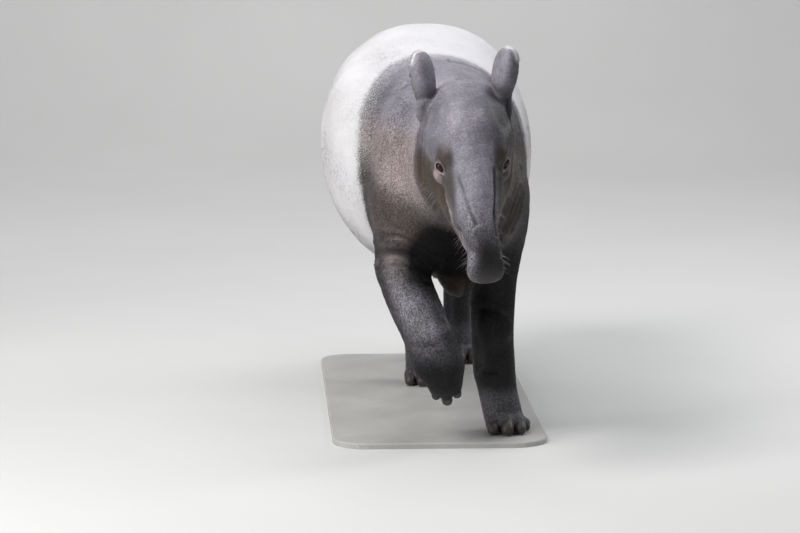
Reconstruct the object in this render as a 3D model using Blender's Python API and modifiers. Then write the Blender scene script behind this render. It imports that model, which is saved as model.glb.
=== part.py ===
"""Malayan tapir (Tapirus indicus), adult, life size, walking: a still museum model on a low plate.

Metres, +Z up. The animal looks along -Y, its right side is -X. The right forefoot is lifted, the
other three feet stand on the plate. Tables below are measured in the animal's own working frame:
x to its left, b backwards from the planted left forefoot, z above the soles. place() moves that
frame to the model's origin, which is the middle of the plate's underside.
"""
import math

import bmesh
import bpy
import numpy as np
from mathutils import Matrix, Vector
from mathutils.bvhtree import BVHTree

# ---------------------------------------------------------------- driving sizes
PLATE_THICK = 0.018          # display plate
PLATE_X, PLATE_Y = 0.580, 1.36
PLATE_CORNER = 0.09
GAP = 0.0003                 # clearance between neighbouring solids
SOLE_Z = PLATE_THICK + GAP   # level of the soles
X_MID = -0.0325              # working x of the model's origin
Y_MID = 0.2840                # working b of the model's origin
PLATE_B = 0.512              # working b of the plate's middle
VOXEL = 0.0085               # grain of the fused body form
BODY_TRIANGLES = 3100

EYE_RADIUS = 0.0185
NOSE_BEND = 0.010            # the tip of the nose, off to its left
EAR_HEIGHT = 0.126
EAR_WALL = 0.0060

HEAD_PITCH = math.radians(39.0)   # muzzle below the horizon
HEAD_YAW = math.radians(3.4)      # turned to its left
HEAD_ROLL = math.radians(3.0)     # left eye higher
POLL = (0.012, -0.352, 0.983)     # back of the crown, working frame

# Torso from the throat to the rump. Columns: b, top, widest height, bottom, half width, middle x,
# squareness above, squareness below (2 is an ellipse).
TORSO = (
    (-0.440, 0.855, 0.815, 0.775, 0.030, 0.010, 2.0, 2.0),
    (-0.410, 0.920, 0.800, 0.700, 0.085, 0.010, 2.0, 2.0),
    (-0.350, 0.952, 0.790, 0.640, 0.112, 0.008, 2.0, 2.0),
    (-0.270, 0.955, 0.770, 0.590, 0.130, 0.006, 1.9, 2.1),
    (-0.190, 0.956, 0.740, 0.530, 0.150, 0.004, 1.9, 2.1),
    (-0.110, 0.966, 0.710, 0.475, 0.171, 0.002, 1.9, 2.2),
    (-0.030, 0.980, 0.700, 0.436, 0.190, 0.000, 1.9, 2.3),
    (0.060, 0.990, 0.700, 0.414, 0.206, -0.003, 1.95, 2.3),
    (0.160, 0.992, 0.705, 0.399, 0.232, -0.010, 2.05, 2.1),
    (0.280, 0.992, 0.715, 0.387, 0.266, -0.022, 2.15, 2.1),
    (0.420, 1.006, 0.722, 0.380, 0.292, -0.033, 2.25, 2.1),
    (0.560, 1.027, 0.730, 0.386, 0.300, -0.035, 2.30, 2.1),
    (0.690, 1.047, 0.745, 0.412, 0.296, -0.029, 2.30, 2.1),
    (0.810, 1.055, 0.765, 0.462, 0.282, -0.021, 2.25, 2.2),
    (0.920, 1.041, 0.775, 0.528, 0.258, -0.015, 2.15, 2.1),
    (1.010, 0.992, 0.770, 0.585, 0.222, -0.010, 2.05, 2.0),
    (1.080, 0.930, 0.760, 0.625, 0.172, -0.006, 2.0, 2.0),
    (1.130, 0.860, 0.755, 0.665, 0.110, -0.003, 2.0, 2.0),
    (1.152, 0.800, 0.755, 0.712, 0.045, -0.002, 2.0, 2.0),
)

# Skull and trunk of the nose, in the head's frame. Columns: u forwards from the poll, top, widest
# height, bottom, half width, squareness above, squareness below.
FACE = (
    (-0.045, -0.060, -0.090, -0.120, 0.030, 2.0, 2.0),
    (-0.030, -0.022, -0.080, -0.150, 0.070, 2.0, 2.0),
    (0.000, 0.000, -0.075, -0.185, 0.094, 2.1, 2.0),
    (0.040, 0.011, -0.082, -0.205, 0.107, 2.2, 2.0),
    (0.080, 0.015, -0.090, -0.212, 0.113, 2.2, 2.0),
    (0.120, 0.014, -0.094, -0.210, 0.114, 2.1, 2.0),
    (0.160, 0.006, -0.095, -0.203, 0.108, 2.0, 2.0),
    (0.200, -0.008, -0.098, -0.195, 0.0915, 1.90, 2.0),
    (0.240, -0.024, -0.104, -0.187, 0.0790, 1.85, 2.0),
    (0.280, -0.041, -0.110, -0.182, 0.069, 1.80, 2.0),
    (0.320, -0.058, -0.117, -0.181, 0.055, 1.85, 2.0),
    (0.355, -0.075, -0.128, -0.184, 0.047, 1.90, 2.0),
    (0.390, -0.095, -0.142, -0.190, 0.0430, 2.0, 2.0),
    (0.425, -0.118, -0.160, -0.201, 0.0425, 2.1, 2.1),
    (0.455, -0.140, -0.178, -0.214, 0.0440, 2.2, 2.2),
    (0.478, -0.160, -0.193, -0.226, 0.0475, 2.3, 2.3),
    (0.493, -0.178, -0.204, -0.229, 0.0400, 2.3, 2.3),
    (0.500, -0.192, -0.207, -0.222, 0.0200, 2.0, 2.0),
)

# Lower jaw, head's frame: u, v, half width, half height.
JAW = (
    (0.060, -0.185, 0.094, 0.090), (0.110, -0.200, 0.099, 0.085), (0.170, -0.207, 0.096, 0.070),
    (0.230, -0.210, 0.081, 0.055), (0.290, -0.208, 0.060, 0.045), (0.340, -0.204, 0.044, 0.036),
    (0.378, -0.200, 0.032, 0.028), (0.392, -0.199, 0.026, 0.023),
)

# Limbs, working frame: x, b, z, half thickness across, half thickness fore and aft.
LIMBS = {
    "fore_leg_left": (
        (0.128, -0.010, 0.640, 0.080, 0.125), (0.126, 0.020, 0.520, 0.074, 0.100),
        (0.119, 0.020, 0.420, 0.064, 0.075), (0.1165, 0.012, 0.330, 0.059, 0.062),
        (0.1165, 0.006, 0.250, 0.0565, 0.054), (0.119, 0.002, 0.190, 0.0570, 0.052),
        (0.124, -0.002, 0.145, 0.0545, 0.048), (0.132, -0.006, 0.100, 0.0515, 0.045),
        (0.141, -0.008, 0.060, 0.0510, 0.047), (0.146, -0.008, 0.036, 0.0500, 0.044),
    ),
    "fore_leg_right": (
        (-0.130, -0.020, 0.640, 0.080, 0.125), (-0.132, -0.030, 0.530, 0.076, 0.095),
        (-0.131, -0.080, 0.440, 0.067, 0.074), (-0.107, -0.143, 0.375, 0.0675, 0.064),
        (-0.083, -0.194, 0.320, 0.0645, 0.057), (-0.066, -0.216, 0.280, 0.0650, 0.051),
        (-0.0535, -0.218, 0.240, 0.0665, 0.045), (-0.0345, -0.209, 0.200, 0.0570, 0.041),
        (-0.027, -0.198, 0.170, 0.0450, 0.037),
    ),
    "hind_leg_left": (
        (0.140, 0.880, 0.680, 0.100, 0.190), (0.140, 0.850, 0.570, 0.092, 0.150),
        (0.130, 0.880, 0.480, 0.075, 0.108), (0.118, 0.960, 0.410, 0.058, 0.078),
        (0.108, 1.050, 0.350, 0.048, 0.062), (0.101, 1.090, 0.300, 0.045, 0.056),
        (0.098, 1.096, 0.230, 0.0425, 0.047), (0.097, 1.090, 0.160, 0.0420, 0.044),
        (0.097, 1.078, 0.100, 0.0435, 0.045), (0.097, 1.066, 0.060, 0.0450, 0.045),
        (0.097, 1.062, 0.036, 0.0440, 0.042),
    ),
    "hind_leg_right": (
        (-0.145, 0.870, 0.680, 0.100, 0.190), (-0.145, 0.800, 0.570, 0.092, 0.148),
        (-0.130, 0.760, 0.480, 0.076, 0.108), (-0.102, 0.790, 0.410, 0.060, 0.078),
        (-0.078, 0.830, 0.350, 0.050, 0.062), (-0.064, 0.836, 0.300, 0.0465, 0.056),
        (-0.052, 0.806, 0.230, 0.0435, 0.047), (-0.044, 0.768, 0.160, 0.0430, 0.044),
        (-0.038, 0.735, 0.100, 0.0440, 0.045), (-0.035, 0.716, 0.060, 0.0455, 0.045),
        (-0.034, 0.710, 0.036, 0.0445, 0.042),
    ),
    "tail": (
        (0.000, 1.075, 0.880, 0.034, 0.034), (0.000, 1.130, 0.850, 0.026, 0.026),
        (0.000, 1.160, 0.812, 0.020, 0.019), (0.000, 1.170, 0.776, 0.013, 0.012),
    ),
}

# Muscle and bone masses, working frame: centre x, b, z, radii x, b, z, lean about the x axis in
# degrees. A pair has the mirrored one too.
MASSES = (
    ("blade", (0.100, 0.010, 0.732), (0.094, 0.150, 0.190), 12, True),
    ("shoulder_point", (0.100, -0.105, 0.640), (0.076, 0.090, 0.130), 0, True),
    ("triceps", (0.130, 0.070, 0.590), (0.080, 0.120, 0.120), -15, True),
    ("breast", (0.008, -0.140, 0.545), (0.110, 0.080, 0.095), 0, False),
    ("keel", (0.016, -0.060, 0.445), (0.050, 0.085, 0.060), 0, False),
    ("haunch", (0.130, 0.930, 0.720), (0.125, 0.180, 0.230), 8, True),
    ("stifle", (0.165, 0.775, 0.560), (0.085, 0.095, 0.110), -20, True),
    ("nape", (0.006, -0.215, 0.868), (0.070, 0.190, 0.095), 0, False),
)

# Forms of the head, head's frame: centre u, w, v, radii u, w, v, mirrored or not.
HEAD_MASSES = (
    ("cheek", (0.100, 0.066, -0.150), (0.095, 0.048, 0.085), True),
    ("brow", (0.190, 0.060, -0.056), (0.050, 0.030, 0.026), True),
    ("levator", (0.290, 0.036, -0.125), (0.080, 0.030, 0.034), True),
    ("forehead", (0.100, 0.000, -0.030), (0.095, 0.078, 0.050), False),
)

EYE = (0.2115, 0.0762, -0.0830)          # centre of the left eyeball, head's frame

# Toes: across, reach forwards, radius; the third digit is the largest.
FORE_TOES = ((-0.0375, 0.072, 0.0195), (0.000, 0.086, 0.0225), (0.0375, 0.072, 0.0195), (0.060, 0.018, 0.0140))
RAISED_TOES = ((-0.0280, 0.061, 0.0155), (0.000, 0.078, 0.0185), (0.0280, 0.061, 0.0155), (0.043, 0.013, 0.0125))
HIND_TOES = ((-0.036, 0.070, 0.0190), (0.000, 0.084, 0.0220), (0.036, 0.070, 0.0190))

# Feet: middle of the ball in the working frame, the way the toes point, the dorsal way, lateral sign.
FEET = {
    "fore_foot_left": ((0.147, -0.008, 0.000), (0.05, -1.0, 0.0), (0.0, 0.0, 1.0), 1, FORE_TOES),
    "fore_foot_right": ((-0.026, -0.172, 0.186), (0.12, 0.22, -1.0), (-0.10, -1.0, -0.22), -1, RAISED_TOES),
    "hind_foot_left": ((0.097, 1.062, 0.000), (0.06, -1.0, 0.0), (0.0, 0.0, 1.0), 1, HIND_TOES),
    "hind_foot_right": ((-0.034, 0.710, 0.000), (-0.04, -1.0, 0.0), (0.0, 0.0, 1.0), -1, HIND_TOES),
}


# ---------------------------------------------------------------- scene and materials
for old in list(bpy.data.objects):
    bpy.data.objects.remove(old, do_unlink=True)

tapir = bpy.data.collections.new("malayan_tapir")
bpy.context.scene.collection.children.link(tapir)
helpers = bpy.data.collections.new("cutters")
bpy.context.scene.collection.children.link(helpers)
helpers.hide_render = True


def material(name, colour, roughness):
    made = bpy.data.materials.new(name)
    made.use_nodes = True
    shader = made.node_tree.nodes["Principled BSDF"]
    shader.inputs["Base Color"].default_value = (*colour, 1)
    shader.inputs["Roughness"].default_value = roughness
    shader.inputs["Metallic"].default_value = 0.0
    return made


BLACK_COAT = material("black_coat", (0.055, 0.050, 0.055), 0.62)
WHITE_COAT = material("white_coat", (0.80, 0.78, 0.79), 0.70)
HOOF = material("hoof", (0.075, 0.060, 0.048), 0.45)
EYE_BALL = material("eye", (0.045, 0.020, 0.012), 0.12)
PLATE = material("plate", (0.32, 0.31, 0.29), 0.60)


def place(x, b, z):
    """Working frame to model frame."""
    return Vector((x - X_MID, b - Y_MID, z + SOLE_Z))


def head_matrix():
    """The head's frame: u forwards along the skull, w to its left, v up through the crown."""
    turn = Matrix.Rotation(HEAD_YAW, 3, "Z")
    u = turn @ Vector((0, -math.cos(HEAD_PITCH), -math.sin(HEAD_PITCH)))
    v = turn @ Vector((0, -math.sin(HEAD_PITCH), math.cos(HEAD_PITCH)))
    roll = Matrix.Rotation(HEAD_ROLL, 3, u)
    v = roll @ v
    w = v.cross(u)
    if w.x < 0:
        w = -w
    m = Matrix((u, w, v)).transposed().to_4x4()
    m.translation = place(*POLL)
    return m


HEAD = head_matrix()


# ---------------------------------------------------------------- shapes from the tables
def eased(table, count):
    """Rows between the table's rows, on a monotone cubic through each column."""
    t = np.array(table, float)
    x = t[:, 0]
    h = np.diff(x)
    slope = np.diff(t, axis=0) / h[:, None]
    m = np.zeros_like(t)
    m[1:-1] = np.where(slope[1:] * slope[:-1] > 0, 2 * slope[1:] * slope[:-1] / (slope[1:] + slope[:-1] + 1e-12), 0)
    m[0], m[-1] = slope[0], slope[-1]
    q = x[0] + (x[-1] - x[0]) * (0.5 - 0.5 * np.cos(np.linspace(0, math.pi, count)))
    i = np.clip(np.searchsorted(x, q) - 1, 0, len(x) - 2)
    s = ((q - x[i]) / h[i])[:, None]
    hi = h[i][:, None]
    rows = (2 * s**3 - 3 * s**2 + 1) * t[i] + (s**3 - 2 * s**2 + s) * hi * m[i] + (3 * s**2 - 2 * s**3) * t[i + 1] + (s**3 - s**2) * hi * m[i + 1]
    rows[:, 0] = q
    return rows


def section(wide, above, below, square_above, square_below, points):
    """(across, up) of a closed outline, round the widest height."""
    for k in range(points):
        a = 2 * math.pi * k / points
        c, s = math.cos(a), math.sin(a)
        n = square_above if s >= 0 else square_below
        r = (abs(c) ** n + abs(s) ** n) ** (-1 / n)
        yield wide * r * c, (above if s >= 0 else below) * r * s


def new_object(name, mesh, coat, collection=tapir):
    made = bpy.data.objects.new(name, mesh)
    collection.objects.link(made)
    if coat:
        mesh.materials.clear()
        mesh.materials.append(coat)
    return made


def loft(name, rings):
    """A closed skin through rings of equal count, with a fan at each end."""
    bm = bmesh.new()
    rows = [[bm.verts.new(p) for p in ring] for ring in rings]
    count = len(rows[0])
    for low, high in zip(rows, rows[1:]):
        for k in range(count):
            bm.faces.new((low[k], low[(k + 1) % count], high[(k + 1) % count], high[k]))
    bm.faces.new(rows[0])
    bm.faces.new(rows[-1])
    bmesh.ops.triangulate(bm, faces=[f for f in bm.faces if len(f.verts) > 4])
    bmesh.ops.recalc_face_normals(bm, faces=bm.faces)
    mesh = bpy.data.meshes.new(name)
    bm.to_mesh(mesh)
    bm.free()
    return new_object(name, mesh, None, helpers)


def torso_form():
    rings = []
    for b, top, wide_at, bottom, half, mid, n1, n2 in eased(TORSO, 44):
        rings.append([place(mid + x, b, wide_at + z) for x, z in section(half, top - wide_at, wide_at - bottom, n1, n2, 36)])
    return loft("torso_form", rings)


def face_form():
    rings = []
    for u, top, wide_at, bottom, half, n1, n2 in eased(FACE, 40):
        ease = min(1.0, max(0.0, (u - 0.36) / 0.09))
        bend = NOSE_BEND * ease * ease * (3 - 2 * ease)
        rings.append([HEAD @ Vector((u, bend + x, wide_at + z)) for x, z in section(half, top - wide_at, wide_at - bottom, n1, n2, 30)])
    return loft("face_form", rings)


def tube_form(name, centres, across, radii, points=24):
    """A bent tube with oval sections and round ends. across(i) is the sideways direction."""
    centres = [Vector(c) for c in centres]
    rings = []
    last = len(centres) - 1
    for i, (c, (ra, rb)) in enumerate(zip(centres, radii)):
        ahead = (centres[min(i + 1, last)] - centres[max(i - 1, 0)]).normalized()
        side = across.copy()
        side = (side - ahead * side.dot(ahead)).normalized()
        fore = ahead.cross(side)

        def ring(shift, scale):
            return [c + ahead * shift + side * (ra * scale * math.cos(a)) + fore * (rb * scale * math.sin(a))
                    for a in (2 * math.pi * k / points for k in range(points))]

        r = min(ra, rb)
        if i == 0:
            rings += [ring(-r * math.sin(a), math.cos(a)) for a in (1.45, 1.1, 0.7, 0.35)]
        rings.append(ring(0, 1))
        if i == last:
            rings += [ring(r * math.sin(a), math.cos(a)) for a in (0.35, 0.7, 1.1, 1.45)]
    return loft(name, rings)


def dense(stations, per=3):
    """Points between the stations on a Catmull-Rom curve, in all columns."""
    p = np.array(stations, float)
    p = np.vstack([2 * p[0] - p[1], p, 2 * p[-1] - p[-2]])
    out = []
    for i in range(1, len(p) - 2):
        for t in np.arange(per) / per:
            out.append(0.5 * (2 * p[i] + (p[i + 1] - p[i - 1]) * t + (2 * p[i - 1] - 5 * p[i] + 4 * p[i + 1] - p[i + 2]) * t**2
                              + (3 * p[i] - p[i - 1] - 3 * p[i + 1] + p[i + 2]) * t**3))
    out.append(p[-2])
    return np.array(out)


def limb_form(name):
    rows = dense(LIMBS[name])
    return tube_form(name + "_form", [place(*r[:3]) for r in rows], Vector((1, 0, 0)), [(r[3], r[4]) for r in rows])


def ball_form(name, matrix, radii, segments=28, rings=18):
    """An ellipsoid from a UV sphere."""
    bm = bmesh.new()
    bmesh.ops.create_uvsphere(bm, u_segments=segments, v_segments=rings, radius=1.0)
    bmesh.ops.transform(bm, matrix=matrix @ Matrix.Diagonal((*radii, 1)), verts=bm.verts)
    bmesh.ops.recalc_face_normals(bm, faces=bm.faces)
    mesh = bpy.data.meshes.new(name)
    bm.to_mesh(mesh)
    bm.free()
    return new_object(name, mesh, None, helpers)


def body_masses():
    for name, (x, b, z), radii, lean, pair in MASSES:
        for sign in (1, -1) if pair else (1,):
            turn = Matrix.Translation(place(sign * x, b, z)) @ Matrix.Rotation(math.radians(lean), 4, "X")
            yield ball_form(f"{name}_{sign}", turn, radii)
    for name, (u, w, v), radii, pair in HEAD_MASSES:
        for sign in (1, -1) if pair else (1,):
            yield ball_form(f"{name}_{sign}", HEAD @ Matrix.Translation((u, sign * w, v)), radii)


def foot_frame(name):
    """Matrix of a foot: x across to the outer side, y along the toes, z dorsal."""
    centre, toes, dorsal, side, digits = FEET[name]
    y = Vector(toes).normalized()
    z = Vector(dorsal)
    z = (z - y * z.dot(y)).normalized()
    x = Vector((side, 0, 0))
    x = (x - y * x.dot(y) - z * x.dot(z)).normalized()
    m = Matrix((x, y, z)).transposed().to_4x4()
    m.translation = place(*centre)
    return m, digits


def toe_forms(name):
    """One short bent tube for each digit, and the pad behind them."""
    m, digits = foot_frame(name)
    for k, (dx, reach, r) in enumerate(digits):
        root = Vector((dx * 0.72, reach * 0.10, r * 2.05))
        knuckle = Vector((dx * 0.95, reach * 0.52, r * 1.55))
        tip = Vector((dx, reach - r, r * 0.98))
        centres = [m @ p for p in (root, knuckle, tip)]
        yield tube_form(f"{name}_toe_{k}", centres, m.to_3x3() @ Vector((1, 0, 0)), [(r * 1.05, r * 1.1), (r * 1.06, r * 1.05), (r * 0.98, r * 0.95)], 16)
    yield ball_form(f"{name}_pad", m @ Matrix.Translation((0, 0.004, 0.024)), (0.047, 0.050, 0.028), 20, 12)


# ---------------------------------------------------------------- joining, smoothing and cutting
def evaluated(obj, name):
    """A new mesh of the object as its modifiers leave it."""
    graph = bpy.context.evaluated_depsgraph_get()
    mesh = bpy.data.meshes.new_from_object(obj.evaluated_get(graph))
    mesh.name = name
    return mesh


def joined(name, forms):
    """All forms as one object, in model coordinates."""
    bm = bmesh.new()
    for form in forms:
        bm.from_mesh(form.data)
        bpy.data.objects.remove(form)
    mesh = bpy.data.meshes.new(name)
    bm.to_mesh(mesh)
    bm.free()
    return new_object(name, mesh, None, helpers)


def untangle(mesh):
    """Eases the few places where fewer triangles let the surface cross itself."""
    bm = bmesh.new()
    bm.from_mesh(mesh)
    bmesh.ops.triangulate(bm, faces=bm.faces)
    for _ in range(40):
        bm.faces.ensure_lookup_table()
        tree = BVHTree.FromBMesh(bm)
        crossed = set()
        for i, j in tree.overlap(tree):
            if i < j and not set(bm.faces[i].verts) & set(bm.faces[j].verts):
                crossed.update(bm.faces[i].verts)
                crossed.update(bm.faces[j].verts)
        if not crossed:
            break
        moved = {v: sum((e.other_vert(v).co for e in v.link_edges), Vector()) / len(v.link_edges) for v in crossed}
        for v, co in moved.items():
            v.co = v.co.lerp(co, 0.5)
    bm.to_mesh(mesh)
    bm.free()
    return mesh


def fused(name, forms, voxel, rounds, triangles):
    """The forms grown into one skin: voxel remesh, smoothing, then fewer triangles."""
    body = joined(name, forms)
    remesh = body.modifiers.new("fuse", "REMESH")
    remesh.mode = "VOXEL"
    remesh.voxel_size = voxel
    remesh.adaptivity = 0.0
    smooth = body.modifiers.new("blend", "SMOOTH")
    smooth.factor = 0.5
    smooth.iterations = rounds
    bpy.context.view_layer.update()
    body.data = evaluated(body, name)
    body.modifiers.clear()
    # Smoothing pulls the form in a little: put its surface back out.
    regain = body.modifiers.new("regain", "DISPLACE")
    regain.strength = 0.0016
    regain.mid_level = 0.0
    thin = body.modifiers.new("fewer", "DECIMATE")
    thin.ratio = min(1.0, triangles / (2 * len(body.data.polygons)))
    bpy.context.view_layer.update()
    body.data = untangle(evaluated(body, name))
    body.modifiers.clear()
    return body


def boolean(target, cutter, operation, name):
    """target and cutter combined, as a new mesh."""
    step = target.modifiers.new(operation, "BOOLEAN")
    step.operation = operation
    step.solver = "EXACT"
    step.object = cutter
    bpy.context.view_layer.update()
    mesh = evaluated(target, name)
    target.modifiers.remove(step)
    return mesh


def box(name, centre, size, turn=(0, 0, 0), grow=0.0):
    """A box cutter in the model frame; turn in degrees about x, y, z."""
    bm = bmesh.new()
    bmesh.ops.create_cube(bm, size=1.0)
    rotation = Matrix.Rotation(math.radians(turn[2]), 4, "Z") @ Matrix.Rotation(math.radians(turn[1]), 4, "Y") @ Matrix.Rotation(math.radians(turn[0]), 4, "X")
    m = Matrix.Translation(place(*centre)) @ rotation @ Matrix.Diagonal((*(s + 2 * grow for s in size), 1))
    bmesh.ops.transform(bm, matrix=m, verts=bm.verts)
    mesh = bpy.data.meshes.new(name)
    bm.to_mesh(mesh)
    bm.free()
    return new_object(name, mesh, None, helpers)


def without_crumbs(mesh):
    """Drops the specks a cut can leave beside a solid: every loose piece but the largest."""
    bm = bmesh.new()
    bm.from_mesh(mesh)
    left = set(bm.verts)
    pieces = []
    while left:
        todo = [left.pop()]
        piece = []
        while todo:
            v = todo.pop()
            piece.append(v)
            for e in v.link_edges:
                w = e.other_vert(v)
                if w in left:
                    left.remove(w)
                    todo.append(w)
        pieces.append(piece)
    pieces.sort(key=len)
    for piece in pieces[:-1]:
        bmesh.ops.delete(bm, geom=piece, context="VERTS")
    bm.to_mesh(mesh)
    bm.free()
    return mesh


def take(rest, name, coat, centre, size, turn=(0, 0, 0)):
    """Parts one node off the body: what lies in the box, with a thin gap left round it."""
    inner = box(name + "_in", centre, size, turn)
    outer = box(name + "_out", centre, size, turn, GAP)
    piece = new_object(name, without_crumbs(boolean(rest, inner, "INTERSECT", name)), coat)
    rest.data = without_crumbs(boolean(rest, outer, "DIFFERENCE", rest.name))
    for cutter in (inner, outer):
        bpy.data.objects.remove(cutter)
    return piece


def grown(obj, by):
    """A copy of a solid with its surface moved out."""
    copy = new_object(obj.name + "_grown", obj.data.copy(), None, helpers)
    out = copy.modifiers.new("out", "DISPLACE")
    out.strength = by
    out.mid_level = 0.0
    bpy.context.view_layer.update()
    mesh = evaluated(copy, copy.name)
    copy.modifiers.clear()
    copy.data = mesh
    return copy


def carve(target, tool, by):
    """Takes a slightly grown copy of tool out of target."""
    cutter = grown(tool, by)
    target.data = boolean(target, cutter, "DIFFERENCE", target.name)
    bpy.data.objects.remove(cutter)


# ---------------------------------------------------------------- the body
forms = [torso_form(), face_form()]
jaw = dense([(HEAD @ Vector((u, 0, v)))[:] + (a, b) for u, v, a, b in JAW])
forms.append(tube_form("jaw_form", [r[:3] for r in jaw], HEAD.to_3x3() @ Vector((0, 1, 0)), [(r[3], r[4]) for r in jaw]))
forms += [limb_form(name) for name in LIMBS]
forms += list(body_masses())
for foot in FEET:
    forms += list(toe_forms(foot))
body = fused("trunk", forms, VOXEL, 7, BODY_TRIANGLES)

# The soles are flat, at one level.
floor = box("floor", (0, 0.3, -0.25 + 0.0), (2, 4, 0.5))
body.data = boolean(body, floor, "DIFFERENCE", "trunk")
bpy.data.objects.remove(floor)


# ---------------------------------------------------------------- hooves
def hoof(name, matrix, r):
    """A rounded nail over the front of a toe, flat underneath."""
    bm = bmesh.new()
    bmesh.ops.create_uvsphere(bm, u_segments=8, v_segments=6, radius=1.0)
    for v in bm.verts:
        v.co = Vector((v.co.x * r * 0.84, v.co.y * r * 1.12, v.co.z * r * 1.02))
        v.co.y -= max(0.0, v.co.z) * 0.42
        v.co.z = max(v.co.z, -r * 0.94)
    bmesh.ops.remove_doubles(bm, verts=bm.verts, dist=1e-5)
    bmesh.ops.transform(bm, matrix=matrix, verts=bm.verts)
    bmesh.ops.recalc_face_normals(bm, faces=bm.faces)
    mesh = bpy.data.meshes.new(name)
    bm.to_mesh(mesh)
    bm.free()
    return new_object(name, mesh, HOOF)


hooves = {}
for foot in FEET:
    m, digits = foot_frame(foot)
    hooves[foot] = [hoof(f"{foot}_hoof_{k + 1}", m @ Matrix.Translation((dx, reach - r * 0.72, r * 0.955)), r) for k, (dx, reach, r) in enumerate(digits)]
for foot, nails in hooves.items():
    for nail in nails:
        carve(body, nail, 0.0004)

# ---------------------------------------------------------------- parting the body into its nodes
SPLIT = 0.035                 # the left and right limbs lie either side of this working x
FAR = 0.60
KNEE_LINE = 0.366             # just under the belly


def span(x0, x1, b0, b1, z0, z1):
    """Centre and size of a box from its working limits."""
    return ((x0 + x1) / 2, (b0 + b1) / 2, (z0 + z1) / 2), (x1 - x0, b1 - b0, z1 - z0)


take(body, "fore_foot_left", BLACK_COAT, *span(SPLIT, FAR, -0.30, 0.30, -0.20, 0.170))
take(body, "fore_foot_right", BLACK_COAT, *span(-FAR, SPLIT, -0.50, 0.30, -0.20, 0.250))
take(body, "hind_foot_left", BLACK_COAT, *span(SPLIT, FAR, 0.90, 1.40, -0.20, 0.170))
take(body, "hind_foot_right", BLACK_COAT, *span(-FAR, SPLIT, 0.50, 0.95, -0.20, 0.170))
take(body, "fore_leg_left", BLACK_COAT, *span(SPLIT, FAR, -0.30, 0.30, -0.20, KNEE_LINE))
take(body, "fore_leg_right", BLACK_COAT, *span(-FAR, SPLIT, -0.50, 0.30, -0.20, KNEE_LINE))
take(body, "hind_leg_left", BLACK_COAT, *span(SPLIT, FAR, 0.50, 1.40, -0.20, KNEE_LINE))
take(body, "hind_leg_right", BLACK_COAT, *span(-FAR, SPLIT, 0.50, 1.40, -0.20, KNEE_LINE))
take(body, "upper_arm_left", BLACK_COAT, (0.245, 0.02, 0.430), (0.36, 0.30, 0.26), (0, -24, 0))
take(body, "upper_arm_right", BLACK_COAT, (-0.245, -0.05, 0.430), (0.36, 0.36, 0.26), (0, 24, 0))
take(body, "thigh_left", BLACK_COAT, (0.245, 0.93, 0.457), (0.36, 0.56, 0.302), (11, -23, 0))
take(body, "thigh_right", BLACK_COAT, (-0.245, 0.870, 0.470), (0.37, 0.64, 0.300), (10, 22, 0))
take(body, "tail", WHITE_COAT, (0.000, 1.235, 0.800), (0.14, 0.18, 0.22), (0, 0, 0))
nose = take(body, "proboscis", BLACK_COAT, (0.036, -0.762, 0.560), (0.24, 0.34, 0.40), (39, 0, 3.4))
head = take(body, "head", BLACK_COAT, (0.012, -0.682, 0.838), (0.50, 0.62, 0.80), (24, 0, 3.4))
neck = take(body, "neck", BLACK_COAT, (0.005, -0.420, 0.80), (0.70, 0.60, 0.90), (14, 0, 0))
body.name = body.data.name = "trunk"
helpers.objects.unlink(body)
tapir.objects.link(body)
body.data.materials.append(WHITE_COAT)

# ---------------------------------------------------------------- eyes
for side, sign in (("left", 1), ("right", -1)):
    eye = ball_form(f"eye_{side}", HEAD @ Matrix.Translation((EYE[0], sign * EYE[1], EYE[2])), (EYE_RADIUS,) * 3, 12, 8)
    helpers.objects.unlink(eye)
    tapir.objects.link(eye)
    eye.data.materials.append(EYE_BALL)
    carve(head, eye, 0.0005)


# ---------------------------------------------------------------- ears
def ear(name, sign):
    """A cupped leaf, its mouth outwards and a little back: an open sheet with Solidify."""
    base = place(0.0135 + sign * (0.0945 if sign > 0 else 0.1015), -0.335, 0.938 + sign * 0.004)
    up = Vector((sign * 0.18, 0.05, 1.0)).normalized()
    mouth = Vector((sign * 0.78, 0.70, 0.05))
    mouth = (mouth - up * mouth.dot(up)).normalized()
    edge = up.cross(mouth).normalized()
    rows, columns = 8, 7
    bm = bmesh.new()
    grid = []
    for i in range(rows):
        s = i / (rows - 1)
        width = 0.0225 + 0.0135 * math.sin(math.pi * min(1.0, s * 0.86))
        width *= math.sqrt(max(0.0, 1 - max(0.0, (s - 0.55) / 0.47) ** 2.4))
        wrap = math.radians(158 - 78 * min(1.0, s / 0.55))
        line = []
        for j in range(columns):
            a = wrap * (2 * j / (columns - 1) - 1)
            back = -mouth * math.cos(a) * width * 0.92 + edge * math.sin(a) * width
            line.append(bm.verts.new(base + up * (EAR_HEIGHT * s) + back))
        grid.append(line)
    for i in range(rows - 1):
        for j in range(columns - 1):
            bm.faces.new((grid[i][j], grid[i][j + 1], grid[i + 1][j + 1], grid[i + 1][j]))
    bmesh.ops.remove_doubles(bm, verts=bm.verts, dist=1e-4)
    mesh = bpy.data.meshes.new(name)
    bm.to_mesh(mesh)
    bm.free()
    made = new_object(name, mesh, BLACK_COAT)
    wall = made.modifiers.new("wall", "SOLIDIFY")
    wall.thickness = EAR_WALL
    wall.offset = 0.0
    bpy.context.view_layer.update()
    made.data = evaluated(made, name)
    made.modifiers.clear()
    return made


for side, sign in (("left", 1), ("right", -1)):
    leaf = ear(f"ear_{side}", sign)
    for other in (head, neck):
        carve(leaf, other, 0.0005)

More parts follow.
